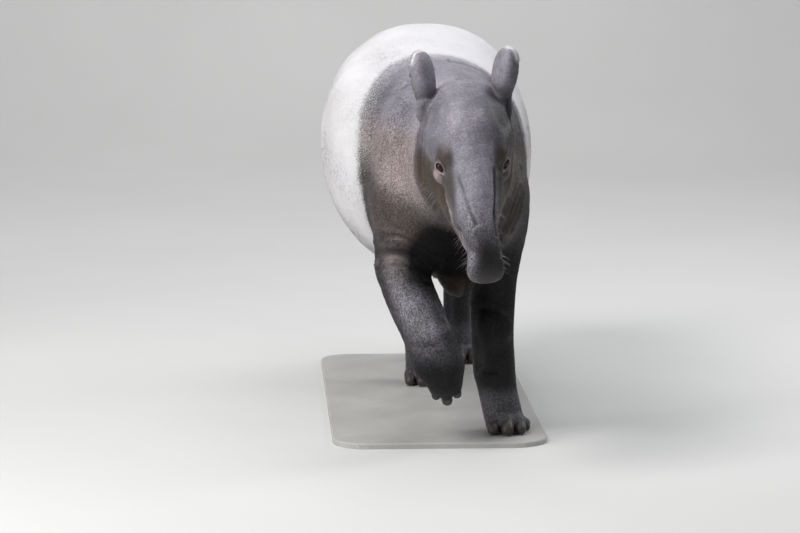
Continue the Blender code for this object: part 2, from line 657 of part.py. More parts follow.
# ---------------------------------------------------------------- display plate
bm = bmesh.new()
bmesh.ops.create_cube(bm, size=1.0)
bmesh.ops.scale(bm, vec=(PLATE_X, PLATE_Y, PLATE_THICK), verts=bm.verts)
upright = [e for e in bm.edges if abs(e.verts[0].co.z - e.verts[1].co.z) > PLATE_THICK / 2]
bmesh.ops.bevel(bm, geom=upright, offset=PLATE_CORNER, segments=6, profile=0.5, affect="EDGES")
mesh = bpy.data.meshes.new("stand_plate")
bm.to_mesh(mesh)
bm.free()
plate = new_object("stand_plate", mesh, PLATE)
plate.location = (0, PLATE_B - Y_MID, PLATE_THICK / 2)
edge = plate.modifiers.new("eased_edge", "BEVEL")
edge.width = 0.003
edge.segments = 1
edge.limit_method = "ANGLE"
edge.angle_limit = math.radians(60)

# ---------------------------------------------------------------- finish
for part in tapir.objects:
    if part.type == "MESH" and part.name != "stand_plate":
        part.data.shade_smooth()
for cutter in list(helpers.objects):
    bpy.data.objects.remove(cutter)
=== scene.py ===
"""Looks of the malayan tapir: one skin, its short coat, eyes, hooves, plate, light and camera."""
import math
import time

import bmesh
import bpy
import numpy as np
from mathutils import Matrix, Vector


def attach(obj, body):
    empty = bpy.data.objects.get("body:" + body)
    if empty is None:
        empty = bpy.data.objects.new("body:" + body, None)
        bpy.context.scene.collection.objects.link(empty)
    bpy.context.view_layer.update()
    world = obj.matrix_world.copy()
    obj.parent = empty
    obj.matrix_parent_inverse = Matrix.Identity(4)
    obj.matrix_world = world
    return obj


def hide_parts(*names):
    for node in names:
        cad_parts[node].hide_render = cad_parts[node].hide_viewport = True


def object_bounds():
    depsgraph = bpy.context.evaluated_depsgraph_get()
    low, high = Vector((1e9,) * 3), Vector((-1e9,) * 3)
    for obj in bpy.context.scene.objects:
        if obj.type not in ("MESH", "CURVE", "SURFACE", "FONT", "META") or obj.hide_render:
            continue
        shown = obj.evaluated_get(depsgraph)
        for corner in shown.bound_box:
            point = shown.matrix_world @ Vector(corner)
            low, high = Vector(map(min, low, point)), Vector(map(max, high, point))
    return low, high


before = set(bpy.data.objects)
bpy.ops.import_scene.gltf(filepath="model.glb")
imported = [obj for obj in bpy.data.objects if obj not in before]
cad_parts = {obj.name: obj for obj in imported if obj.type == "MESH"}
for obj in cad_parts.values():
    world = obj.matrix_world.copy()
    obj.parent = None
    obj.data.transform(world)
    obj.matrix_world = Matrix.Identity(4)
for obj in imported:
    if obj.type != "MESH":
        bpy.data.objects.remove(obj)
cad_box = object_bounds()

T0 = time.time()


def say(*words):
    print("[scene %5.1fs]" % (time.time() - T0), *words, flush=True)


# ------------------------------------------------------------------ sizes shared with the solids
PLATE_THICK = 0.018
GAP = 0.0003
SOLE_Z = PLATE_THICK + GAP
X_MID, Y_MID = -0.0325, 0.2840
EYE_RADIUS = 0.0185
EAR_OUT, EAR_IN = (0.0300, 0.0345, 0.0630), (0.0335, 0.0298, 0.0595)
HEAD_PITCH, HEAD_YAW, HEAD_ROLL = math.radians(39.0), math.radians(3.4), math.radians(3.0)
POLL = (0.012, -0.352, 0.983)
EYE = (0.2115, 0.0762, -0.0830)
EYE_AXIS = (0.836, 0.436, 0.328)     # the way the left eye looks, head's frame
EYE_SLIT = (0.850, -0.350, -0.400)   # towards its inner corner

# b, top, widest height, bottom, half width, middle x, squareness above and below
TORSO = (
    (-0.440, 0.855, 0.815, 0.775, 0.030, 0.010, 2.0, 2.0),
    (-0.410, 0.920, 0.800, 0.700, 0.085, 0.010, 2.0, 2.0),
    (-0.350, 0.952, 0.790, 0.640, 0.112, 0.008, 2.0, 2.0),
    (-0.270, 0.955, 0.770, 0.590, 0.130, 0.006, 1.9, 2.1),
    (-0.190, 0.956, 0.740, 0.530, 0.150, 0.004, 1.9, 2.1),
    (-0.110, 0.966, 0.710, 0.475, 0.171, 0.002, 1.9, 2.2),
    (-0.030, 0.980, 0.700, 0.436, 0.190, 0.000, 1.9, 2.3),
    (0.060, 0.990, 0.700, 0.414, 0.206, -0.003, 1.95, 2.3),
    (0.160, 0.992, 0.705, 0.399, 0.232, -0.010, 2.05, 2.1),
    (0.280, 0.992, 0.715, 0.387, 0.266, -0.022, 2.15, 2.1),
    (0.420, 1.006, 0.722, 0.380, 0.292, -0.033, 2.25, 2.1),
    (0.560, 1.027, 0.730, 0.386, 0.300, -0.035, 2.30, 2.1),
    (0.690, 1.047, 0.745, 0.412, 0.296, -0.029, 2.30, 2.1),
    (0.810, 1.055, 0.765, 0.462, 0.282, -0.021, 2.25, 2.2),
    (0.920, 1.041, 0.775, 0.528, 0.258, -0.015, 2.15, 2.1),
    (1.010, 0.992, 0.770, 0.585, 0.222, -0.010, 2.05, 2.0),
    (1.080, 0.930, 0.760, 0.625, 0.172, -0.006, 2.0, 2.0),
    (1.130, 0.860, 0.755, 0.665, 0.110, -0.003, 2.0, 2.0),
    (1.152, 0.800, 0.755, 0.712, 0.045, -0.002, 2.0, 2.0),
)
# u, top, widest height, bottom, half width, squareness above and below
FACE = (
    (-0.045, -0.060, -0.090, -0.120, 0.030, 2.0, 2.0),
    (-0.030, -0.022, -0.080, -0.150, 0.070, 2.0, 2.0),
    (0.000, 0.000, -0.075, -0.185, 0.094, 2.1, 2.0),
    (0.040, 0.011, -0.082, -0.205, 0.107, 2.2, 2.0),
    (0.080, 0.015, -0.090, -0.212, 0.113, 2.2, 2.0),
    (0.120, 0.014, -0.094, -0.210, 0.114, 2.1, 2.0),
    (0.160, 0.006, -0.095, -0.203, 0.108, 2.0, 2.0),
    (0.200, -0.008, -0.098, -0.195, 0.0915, 1.90, 2.0),
    (0.240, -0.024, -0.104, -0.187, 0.0790, 1.85, 2.0),
    (0.280, -0.041, -0.110, -0.182, 0.069, 1.80, 2.0),
    (0.320, -0.058, -0.117, -0.181, 0.055, 1.85, 2.0),
    (0.355, -0.075, -0.128, -0.184, 0.047, 1.90, 2.0),
    (0.390, -0.095, -0.142, -0.190, 0.0430, 2.0, 2.0),
    (0.425, -0.118, -0.160, -0.201, 0.0425, 2.1, 2.1),
    (0.455, -0.140, -0.178, -0.214, 0.0440, 2.2, 2.2),
    (0.478, -0.160, -0.193, -0.226, 0.0475, 2.3, 2.3),
    (0.492, -0.176, -0.203, -0.229, 0.0420, 2.2, 2.2),
    (0.500, -0.192, -0.207, -0.222, 0.0200, 2.0, 2.0),
)
JAW = (
    (0.060, -0.185, 0.094, 0.090), (0.110, -0.200, 0.099, 0.085), (0.170, -0.207, 0.096, 0.070),
    (0.230, -0.210, 0.081, 0.055), (0.290, -0.208, 0.060, 0.045), (0.340, -0.204, 0.044, 0.036),
    (0.378, -0.200, 0.032, 0.028), (0.392, -0.199, 0.026, 0.023),
)
LIMBS = {
    "fore_leg_left": (
        (0.128, -0.010, 0.640, 0.080, 0.125), (0.126, 0.020, 0.520, 0.074, 0.100),
        (0.119, 0.020, 0.420, 0.064, 0.075), (0.1165, 0.012, 0.330, 0.059, 0.062),
        (0.1165, 0.006, 0.250, 0.0565, 0.054), (0.119, 0.002, 0.190, 0.0570, 0.052),
        (0.124, -0.002, 0.145, 0.0545, 0.048), (0.132, -0.006, 0.100, 0.0515, 0.045),
        (0.141, -0.008, 0.060, 0.0510, 0.047), (0.146, -0.008, 0.036, 0.0500, 0.044),
    ),
    "fore_leg_right": (
        (-0.130, -0.020, 0.640, 0.080, 0.125), (-0.132, -0.030, 0.530, 0.076, 0.095),
        (-0.131, -0.080, 0.440, 0.067, 0.074), (-0.107, -0.143, 0.375, 0.0675, 0.064),
        (-0.083, -0.194, 0.320, 0.0645, 0.057), (-0.066, -0.216, 0.280, 0.0650, 0.051),
        (-0.0535, -0.218, 0.240, 0.0665, 0.045), (-0.0345, -0.209, 0.200, 0.0570, 0.041),
        (-0.027, -0.198, 0.170, 0.0450, 0.037),
    ),
    "hind_leg_left": (
        (0.140, 0.880, 0.680, 0.100, 0.190), (0.140, 0.850, 0.570, 0.092, 0.150),
        (0.130, 0.880, 0.480, 0.075, 0.108), (0.118, 0.960, 0.410, 0.058, 0.078),
        (0.108, 1.050, 0.350, 0.048, 0.062), (0.101, 1.090, 0.300, 0.045, 0.056),
        (0.098, 1.096, 0.230, 0.0425, 0.047), (0.097, 1.090, 0.160, 0.0420, 0.044),
        (0.097, 1.078, 0.100, 0.0435, 0.045), (0.097, 1.066, 0.060, 0.0450, 0.045),
        (0.097, 1.062, 0.036, 0.0440, 0.042),
    ),
    "hind_leg_right": (
        (-0.145, 0.870, 0.680, 0.100, 0.190), (-0.145, 0.800, 0.570, 0.092, 0.148),
        (-0.130, 0.760, 0.480, 0.076, 0.108), (-0.102, 0.790, 0.410, 0.060, 0.078),
        (-0.078, 0.830, 0.350, 0.050, 0.062), (-0.064, 0.836, 0.300, 0.0465, 0.056),
        (-0.052, 0.806, 0.230, 0.0435, 0.047), (-0.044, 0.768, 0.160, 0.0430, 0.044),
        (-0.038, 0.735, 0.100, 0.0440, 0.045), (-0.035, 0.716, 0.060, 0.0455, 0.045),
        (-0.034, 0.710, 0.036, 0.0445, 0.042),
    ),
    "tail": (
        (0.000, 1.075, 0.880, 0.034, 0.034), (0.000, 1.130, 0.850, 0.026, 0.026),
        (0.000, 1.160, 0.812, 0.020, 0.019), (0.000, 1.170, 0.776, 0.013, 0.012),
    ),
}
MASSES = (
    ("blade", (0.100, 0.010, 0.732), (0.094, 0.150, 0.190), 12, True),
    ("shoulder_point", (0.100, -0.105, 0.640), (0.076, 0.090, 0.130), 0, True),
    ("triceps", (0.130, 0.070, 0.590), (0.080, 0.120, 0.120), -15, True),
    ("breast", (0.008, -0.140, 0.545), (0.110, 0.080, 0.095), 0, False),
    ("keel", (0.016, -0.060, 0.445), (0.050, 0.085, 0.060), 0, False),
    ("haunch", (0.130, 0.930, 0.720), (0.125, 0.180, 0.230), 8, True),
    ("stifle", (0.165, 0.775, 0.560), (0.085, 0.095, 0.110), -20, True),
    ("nape", (0.006, -0.215, 0.868), (0.070, 0.190, 0.095), 0, False),
)
HEAD_MASSES = (
    ("cheek", (0.100, 0.066, -0.150), (0.095, 0.048, 0.085), True),
    ("brow", (0.190, 0.060, -0.056), (0.050, 0.030, 0.026), True),
    ("levator", (0.290, 0.036, -0.125), (0.080, 0.030, 0.034), True),
    ("forehead", (0.100, 0.000, -0.030), (0.095, 0.078, 0.050), False),
)
LUMPS = (
    ((-0.143, -0.086, 0.462), (0.060, 0.062, 0.050)), ((-0.140, -0.098, 0.545), (0.050, 0.056, 0.036)), ((-0.036, -0.214, 0.222), (0.052, 0.036, 0.034)),
    ((0.136, 0.085, 0.455), (0.038, 0.034, 0.050)), ((-0.132, 0.010, 0.455), (0.040, 0.036, 0.050)),
    ((0.118, -0.038, 0.290), (0.042, 0.024, 0.046)), ((0.122, 0.044, 0.262), (0.032, 0.020, 0.040)),
    ((0.130, 0.026, 0.112), (0.034, 0.022, 0.028)), ((0.098, -0.020, 0.160), (0.024, 0.026, 0.022)), ((-0.066, -0.242, 0.310), (0.046, 0.026, 0.034)),
    ((0.101, 1.104, 0.350), (0.030, 0.034, 0.078)), ((-0.066, 0.852, 0.350), (0.030, 0.034, 0.078)),
    ((0.099, 1.102, 0.112), (0.030, 0.020, 0.026)), ((-0.040, 0.762, 0.112), (0.030, 0.020, 0.026)),
)
FORE_TOES = ((-0.0375, 0.072, 0.0195), (0.000, 0.086, 0.0225), (0.0375, 0.072, 0.0195), (0.060, 0.018, 0.0140))
RAISED_TOES = ((-0.0280, 0.061, 0.0155), (0.000, 0.078, 0.0185), (0.0280, 0.061, 0.0155), (0.043, 0.013, 0.0125))
HIND_TOES = ((-0.036, 0.070, 0.0190), (0.000, 0.084, 0.0220), (0.036, 0.070, 0.0190))
FEET = {
    "fore_foot_left": ((0.147, -0.008, 0.000), (0.05, -1.0, 0.0), (0.0, 0.0, 1.0), 1, FORE_TOES),
    "fore_foot_right": ((-0.026, -0.172, 0.186), (0.12, 0.22, -1.0), (-0.10, -1.0, -0.22), -1, RAISED_TOES),
    "hind_foot_left": ((0.097, 1.062, 0.000), (0.06, -1.0, 0.0), (0.0, 0.0, 1.0), 1, HIND_TOES),
    "hind_foot_right": ((-0.034, 0.710, 0.000), (-0.04, -1.0, 0.0), (0.0, 0.0, 1.0), -1, HIND_TOES),
}
SKIN_TRIANGLES = 186000
FLESH = ["head", "proboscis", "neck", "trunk", "tail", "ear_left", "ear_right",
         "upper_arm_left", "upper_arm_right", "fore_leg_left", "fore_leg_right", "fore_foot_left", "fore_foot_right",
         "thigh_left", "thigh_right", "hind_leg_left", "hind_leg_right", "hind_foot_left", "hind_foot_right"]

F = np.float32
SHIFT = np.array([-X_MID, -Y_MID, SOLE_Z])


def unit(v):
    v = np.asarray(v, float)
    return v / np.linalg.norm(v)


def head_axes():
    turn = Matrix.Rotation(HEAD_YAW, 3, "Z")
    u = turn @ Vector((0, -math.cos(HEAD_PITCH), -math.sin(HEAD_PITCH)))
    v = turn @ Vector((0, -math.sin(HEAD_PITCH), math.cos(HEAD_PITCH)))
    v = Matrix.Rotation(HEAD_ROLL, 3, u) @ v
    w = v.cross(u)
    if w.x < 0:
        w = -w
    return np.array([u, w, v])


HEAD = head_axes()                       # rows: forwards, to its left, up
POLL = np.array(POLL)


def to_head(p):
    return (p - POLL.astype(p.dtype)) @ HEAD.T.astype(p.dtype)


def from_head(q):
    return np.asarray(q, float) @ HEAD + POLL


def smoothstep(a, b, x):
    t = np.clip((x - a) / (b - a), 0, 1)
    return t * t * (3 - 2 * t)


def smin(a, b, k):
    h = np.maximum(k - np.abs(a - b), 0) / k
    return np.minimum(a, b) - h * h * k * 0.25


def smax(a, b, k):
    h = np.maximum(k - np.abs(a - b), 0) / k
    return np.maximum(a, b) + h * h * k * 0.25


# ------------------------------------------------------------------ distance fields
def eased(table, count=600):
    t = np.array(table, float)
    x = t[:, 0]
    h = np.diff(x)
    slope = np.diff(t, axis=0) / h[:, None]
    m = np.zeros_like(t)
    m[1:-1] = np.where(slope[1:] * slope[:-1] > 0, 2 * slope[1:] * slope[:-1] / (slope[1:] + slope[:-1] + 1e-12), 0)
    m[0], m[-1] = slope[0], slope[-1]
    q = np.linspace(x[0], x[-1], count)
    i = np.clip(np.searchsorted(x, q) - 1, 0, len(x) - 2)
    s = ((q - x[i]) / h[i])[:, None]
    hi = h[i][:, None]
    rows = (2 * s**3 - 3 * s**2 + 1) * t[i] + (s**3 - 2 * s**2 + s) * hi * m[i] + (3 * s**2 - 2 * s**3) * t[i + 1] + (s**3 - s**2) * hi * m[i + 1]
    rows[:, 0] = q
    return rows


class Loft:
    """Distance to a body given by sections: t along, a across, z up."""

    def __init__(self, table, mid=None):
        rows = eased(table)
        self.t = rows[:, 0]
        cols = [rows[:, 1], rows[:, 2], rows[:, 3], rows[:, 4]]
        cols.append(rows[:, 5] if mid else np.zeros(len(rows)))
        cols += [rows[:, -2], rows[:, -1]]
        self.cols = [c.astype(F) for c in cols]

    def level(self, t, a, z):
        tc = np.clip(t, self.t[0], self.t[-1])
        top, wide, low, half, mid, n1, n2 = (np.interp(tc, self.t, c).astype(F) for c in self.cols)
        up = z > wide
        high = np.where(up, top - wide, wide - low)
        n = np.where(up, n1, n2)
        A = np.abs(a - mid) / half
        Z = np.abs(z - wide) / high
        R = (A**n + Z**n) ** (1 / n) + F(1e-6)
        return R, A, Z, n, half, high

    def __call__(self, t, a, z):
        R, A, Z, n, half, high = self.level(t, a, z)
        ga = (A / R) ** (n - 1) / half
        gz = (Z / R) ** (n - 1) / high
        e = F(0.004)
        gt = (self.level(t + e, a, z)[0] - R) / e
        d = (R - 1) / np.sqrt(ga * ga + gz * gz + gt * gt + F(1e-9))
        return np.maximum(d, np.maximum(F(self.t[0]) - t, t - F(self.t[-1])))


def ball(p, centre, radii, turn=None):
    q = p - np.asarray(centre, p.dtype)
    if turn is not None:
        q = q @ turn.T.astype(p.dtype)
    r = np.asarray(radii, p.dtype)
    k0 = np.sqrt(((q / r) ** 2).sum(1)) + F(1e-6)
    k1 = np.sqrt(((q / (r * r)) ** 2).sum(1)) + F(1e-6)
    return k0 * (k0 - 1) / k1


def egg(q, centre, radii, n=2.7):
    """A blunter ellipsoid, fuller towards its top."""
    r = np.asarray(radii, F)
    a = np.abs(q - np.asarray(centre, F)) / r
    a[:, 1] *= 1 + F(0.16) * np.clip((F(centre[2]) - q[:, 2]) / r[2], 0, 1)
    R = (a**n).sum(1) ** (1 / n) + F(1e-6)
    g = np.sqrt((((a / R[:, None]) ** (n - 1) / r) ** 2).sum(1)) + F(1e-6)
    return (R - 1) / g


def catmull(stations, per=3):
    p = np.array(stations, float)
    p = np.vstack([2 * p[0] - p[1], p, 2 * p[-1] - p[-2]])
    out = []
    for i in range(1, len(p) - 2):
        for t in np.arange(per) / per:
            out.append(0.5 * (2 * p[i] + (p[i + 1] - p[i - 1]) * t + (2 * p[i - 1] - 5 * p[i] + 4 * p[i + 1] - p[i + 2]) * t**2
                              + (3 * p[i] - p[i - 1] - 3 * p[i + 1] + p[i + 2]) * t**3))
    out.append(p[-2])
    return np.array(out)


FAR = F(0.5)


def tube(p, rows, side, margin=0.05, blend=0.006):
    """Distance to a bent tube with oval sections: rows of centre, radius along side, other radius."""
    rows = np.asarray(rows, float)
    grow = rows[:, 3:5].max() + margin
    lo, hi = rows[:, :3].min(0) - grow, rows[:, :3].max(0) + grow
    near = np.all((p > lo) & (p < hi), axis=1)
    out = np.full(len(p), FAR, F)
    q = p[near]
    if not len(q):
        return out
    best = np.full(len(q), FAR, F)
    for r0, r1 in zip(rows[:-1], rows[1:]):
        c0, c1 = r0[:3], r1[:3]
        ax = c1 - c0
        length = np.linalg.norm(ax)
        ax = ax / length
        s = unit(side - ax * np.dot(side, ax))
        f = np.cross(ax, s)
        rel = q - c0.astype(F)
        along = rel @ ax.astype(F)
        t = np.clip(along / F(length), 0, 1)
        ra = F(r0[3]) + F(r1[3] - r0[3]) * t
        rb = F(r0[4]) + F(r1[4] - r0[4]) * t
        rm = np.minimum(ra, rb)
        qa = (along - t * F(length)) / rm
        qs = (rel @ s.astype(F)) / ra
        qf = (rel @ f.astype(F)) / rb
        R = np.sqrt(qs * qs + qf * qf + qa * qa) + F(1e-6)
        g = np.sqrt((qs / ra) ** 2 + (qf / rb) ** 2 + (qa / rm) ** 2) / R
        best = smin(best, (R - 1) / g, F(blend))
    out[near] = best
    return out


def capsules(p, points, radii):
    """Distance to a chain of round cones through the points."""
    out = np.full(len(p), FAR, F)
    for c0, c1, r0, r1 in zip(points[:-1], points[1:], radii[:-1], radii[1:]):
        c0, c1 = np.asarray(c0, F), np.asarray(c1, F)
        ax = c1 - c0
        rel = p - c0
        t = np.clip((rel @ ax) / F(ax @ ax), 0, 1)
        d = np.sqrt(((rel - t[:, None] * ax) ** 2).sum(1)) - (F(r0) + F(r1 - r0) * t)
        out = np.minimum(out, d)
    return out


TORSO_F, FACE_F = Loft(TORSO, mid=True), Loft(FACE)
LIMB_ROWS = {k: catmull(v) for k, v in LIMBS.items()}
_j = catmull([(*from_head((u, 0.008 * (u < 0.2), v)), a, b) for u, v, a, b in JAW])
X_AXIS = np.array([1.0, 0, 0])


def foot_frame(name):
    centre, toes, dorsal, side, digits = FEET[name]
    y = unit(toes)
    z = np.asarray(dorsal, float)
    z = unit(z - y * (z @ y))
    x = np.array([side, 0, 0], float)
    x = unit(x - y * (x @ y) - z * (x @ z))
    return np.array([x, y, z]), np.asarray(centre, float), digits


def ear_frame(sign):
    base = np.array([0.0135 + sign * (0.0945 if sign > 0 else 0.1015), -0.335, 0.938 + sign * 0.004])
    up = unit([sign * 0.18, 0.05, 1.0])
    mouth = np.array([sign * 0.78, 0.70, 0.05])
    mouth = unit(mouth - up * (mouth @ up))
    edge = np.cross(up, mouth)
    return base, np.array([mouth, edge, up])


def ear_field(p, sign):
    """A cupped leaf: wall round a hollow, open to one side."""
    base, axes = ear_frame(sign)
    out = np.full(len(p), FAR, F)
    near = ((p - base.astype(F)) ** 2).sum(1) < 0.17**2
    q = (p[near] - base.astype(F)) @ axes.T.astype(F)
    outer = egg(q, (-0.002, 0.0, 0.064), EAR_OUT)
    inner = egg(q, (0.0135, 0.0, 0.068), EAR_IN)
    d = smax(outer, -inner, F(0.0035))
    # a fleshy root
    root = capsules(q, [(0.000, 0, -0.035), (-0.003, 0, 0.020)], [0.031, 0.0205])
    out[near] = smin(d, root, F(0.014)).astype(F)
    return out


EYE_E, EYE_Y, EYE_Z = np.array(EYE), unit(EYE_AXIS), unit(EYE_SLIT)
EYE_Z = unit(EYE_Z - EYE_Y * (EYE_Z @ EYE_Y))
EYE_K = np.cross(EYE_Y, EYE_Z)
EYE_K = EYE_K if EYE_K[2] > 0 else -EYE_K
EYE_TILT = math.radians(-7.0)
EYE_Z, EYE_K = EYE_Z * math.cos(EYE_TILT) + EYE_K * math.sin(EYE_TILT), EYE_K * math.cos(EYE_TILT) - EYE_Z * math.sin(EYE_TILT)
SLIT = (0.0155, 0.0125, 0.0095, 0.0108)   # inner corner, outer corner, upper lid, lower lid
EYE_SHIFT = (0.0, 0.0)         # middle of the opening, along the slit and across it
FACE_FURROWS = (
    (((0.285, -0.041, -0.064), (0.330, -0.033, -0.076), (0.370, -0.022, -0.092), (0.402, -0.010, -0.106)), 0.0024, 0.0060),
    (((0.262, 0.047, -0.060), (0.320, 0.043, -0.088), (0.370, 0.036, -0.108), (0.420, 0.030, -0.133)), 0.0044, 0.0052),
    (((0.395, -0.036, -0.140), (0.420, -0.041, -0.162), (0.432, -0.040, -0.185)), 0.0022, 0.0050),
    (((0.405, 0.036, -0.140), (0.428, 0.041, -0.162), (0.440, 0.040, -0.185)), 0.0022, 0.0050),
)


def eye_frame(qm):
    """Outwards, along the slit, across it towards the brow, and the offset itself."""
    rel = qm - EYE_E.astype(F)
    return (rel @ EYE_Y.astype(F), rel @ EYE_Z.astype(F) - F(EYE_SHIFT[0]), rel @ EYE_K.astype(F) - F(EYE_SHIFT[1]), rel)


def from_eye(s, k, n):
    """A point of the head's frame (left side) from the eye's own."""
    return EYE_E + EYE_Z * s + EYE_K * k + EYE_Y * n


def mouth_line(u):
    return -0.165 - 0.36 * (u - 0.29) + 0.004 * np.sin((u - 0.28) * 40) + 0.015 * smoothstep(0.350, 0.280, u)


def head_field(p):
    """Skull, jaw and trunk of the nose; q is the head's frame."""
    q = to_head(p)
    u, w, v = q[:, 0], q[:, 1], q[:, 2]
    aw = np.abs(w)
    bend = 0.0100 * smoothstep(0.36, 0.45, u)
    w = w - bend
    aw = np.abs(w)
    d = FACE_F(u, w, v)
    d = smin(d, tube(p, _j, HEAD[1], 0.06), F(0.020))
    qm = np.stack([u, aw, v], 1)
    for name, c, r, pair in HEAD_MASSES:
        d = smin(d, ball(qm if pair else np.stack([u, w, v], 1), c, r), F(0.022))
    n_, s_, k_, rel = eye_frame(qm)
    r_ = np.sqrt((rel**2).sum(1))
    # a soft hollow between eye and nose, the lids over the ball, a low pouch under them
    hollow = ball(qm, (0.236, 0.058, -0.060), (0.024, 0.014, 0.016))
    d = d + 0.0030 * np.exp(-(np.maximum(hollow, 0) / 0.010) ** 2)
    temple = ball(qm, (0.080, 0.098, -0.012), (0.070, 0.034, 0.040))
    d = d + 0.0075 * np.exp(-(np.maximum(temple, 0) / 0.014) ** 2)
    d = smin(d, r_ - (EYE_RADIUS + 0.0022), F(0.014))
    pouch = ball(qm, from_eye(0.020, -0.026, -0.0065), (0.023, 0.015, 0.015))
    d = smin(d, pouch, F(0.020))
    # rims of the lids, then the opening, pointed at its inner corner
    sl = np.where(s_ > 0, s_ / SLIT[0], s_ / SLIT[1])
    kl = np.where(k_ > 0, k_ / SLIT[2], k_ / SLIT[3])
    taper = np.where(s_ > 0, 1.55, 2.0)
    gate0 = ((np.abs(sl) + 1e-4) ** taper + (np.abs(kl) + 1e-4) ** 1.9) ** 0.5 - 1
    gate = np.maximum(gate0 * 0.0105, 0.002 - n_)
    front = smoothstep(0.0, 0.006, n_)
    d = d - 0.0011 * np.exp(-((gate0 * 0.0105 - 0.0018) / 0.0017) ** 2) * front
    d = smax(d, -gate, F(0.0016))
    d = smin(d, ball(qm, from_eye(0.0142, 0.0002, 0.0158), (0.0036, 0.0030, 0.0030)), F(0.0015))
    crease = gate0 * 0.0105 - 0.0064
    d = d + 0.0016 * np.exp(-(crease / 0.0015) ** 2) * front * smoothstep(0.003, -0.004, k_)
    fold = gate0 * 0.0105 - 0.0078
    d = d + 0.0022 * np.exp(-(fold / 0.0017) ** 2) * front * smoothstep(0.000, 0.006, k_)
    # the furrow that runs down from the inner corner, and the edges of the nose's upper plane
    tear = capsules(qm, [from_eye(0.017, -0.002, 0.012), from_eye(0.022, -0.009, 0.006)], [0, 0])
    d = d + 0.0024 * np.exp(-(tear / 0.0028) ** 2)
    q3 = np.stack([u, w, v], 1)
    for line, depth, width in FACE_FURROWS:
        dist = capsules(q3, line, [0] * len(line))
        d = d + depth * np.exp(-(dist / width) ** 2) - 0.35 * depth * np.exp(-((dist - 1.9 * width) / width) ** 2)
    ridge = capsules(qm, [(0.262, 0.060, -0.112), (0.305, 0.057, -0.138), (0.345, 0.050, -0.160)], [0, 0, 0])
    d = d - 0.0032 * np.exp(-(ridge / 0.0085) ** 2)
    # lips and jaw are fuller than the nose above them
    d = smin(d, ball(qm, (0.300, 0.042, -0.170), (0.055, 0.019, 0.022)), F(0.014))
    d = smin(d, ball(qm, (0.232, 0.058, -0.180), (0.060, 0.023, 0.030)), F(0.018))
    # mouth: a slit up to its corner, lips rolled at its edge
    line = mouth_line(u)
    mouth = np.maximum(np.abs(v - line) - 0.0024 - 0.0030 * np.exp(-((u - 0.290) / 0.018) ** 2), np.maximum(0.270 - u, 0.012 - aw))
    lip = np.exp(-((np.abs(v - line) - 0.0070) / 0.0045) ** 2) * smoothstep(0.248, 0.275, u) * smoothstep(0.415, 0.390, u)
    d = d - 0.0032 * lip
    d = smax(d, -mouth, F(0.003))
    # nostrils under the tip, and the fine rings of skin across the trunk
    nose = capsules(qm, [(0.458, 0.014, -0.240), (0.470, 0.018, -0.228)], [0.0060, 0.0050])
    d = smax(d, -nose, F(0.004))
    rings = smoothstep(0.33, 0.40, u) * smoothstep(0.505, 0.47, u)
    path = u + 0.5 * (v + 0.13)
    d = d + 0.00035 * rings * np.sin(path * 520 + 2.4 * np.sin(w * 50)) * smoothstep(0.02, 0.045, aw + 0.4 * np.abs(v + 0.17))
    return d


def field(p, inset=True):
    """Distance to the skin for points in the working frame."""
    p = np.asarray(p, F)
    d = TORSO_F(p[:, 1], p[:, 0], p[:, 2])
    d = d + F(0.55) * np.maximum(F(-0.345) - p[:, 1], 0) * smoothstep(0.80, 0.90, p[:, 2])
    for name, (x, b, z), radii, lean, pair in MASSES:
        turn = np.array(Matrix.Rotation(-math.radians(lean), 3, "X"))
        for sign in (1, -1) if pair else (1,):
            d = smin(d, ball(p, (sign * x, b, z), radii, turn), F(0.045))
    for name, rows in LIMB_ROWS.items():
        d = smin(d, tube(p, rows, X_AXIS), F(0.034 if name != "tail" else 0.02))
    for centre, radii in LUMPS:
        near = ((p - np.asarray(centre, F)) ** 2).sum(1) < 0.13**2
        if near.any():
            d[near] = smin(d[near], ball(p[near], centre, radii), F(0.026))
    for name in FEET:
        axes, centre, digits = foot_frame(name)
        near = ((p - centre.astype(F)) ** 2).sum(1) < 0.20**2
        if not near.any():
            continue
        q = (p[near] - centre.astype(F)) @ axes.T.astype(F)
        dn = d[near]
        for dx, reach, r in digits:
            toe = capsules(q, [(dx * 0.72, reach * 0.10, r * 2.05), (dx * 0.95, reach * 0.50, r * 1.55), (dx, reach - r * 1.42, r * 1.16)], [r * 1.02, r * 1.0, r * 0.90])
            dn = smin(dn, toe, F(0.011))
        dn = smin(dn, ball(q, (0, 0.004, 0.024), (0.047, 0.050, 0.026)), F(0.010))
        d[near] = dn
    front = p[:, 1] < -0.16
    if front.any():
        pf = p[front]
        h = head_field(pf)
        d[front] = smin(d[front], h, F(0.022))
        for sign in (1, -1):
            d[front] = smin(d[front], ear_field(pf, sign), F(0.010))
    d = d + creases(p)
    if inset:
        depth = 0.0004 + 0.0010 * smoothstep(-0.30, -0.20, p[:, 1]) * smoothstep(0.02, 0.12, p[:, 2])
        d = d + depth
    return smax(d, -p[:, 2], F(0.004)).astype(F)


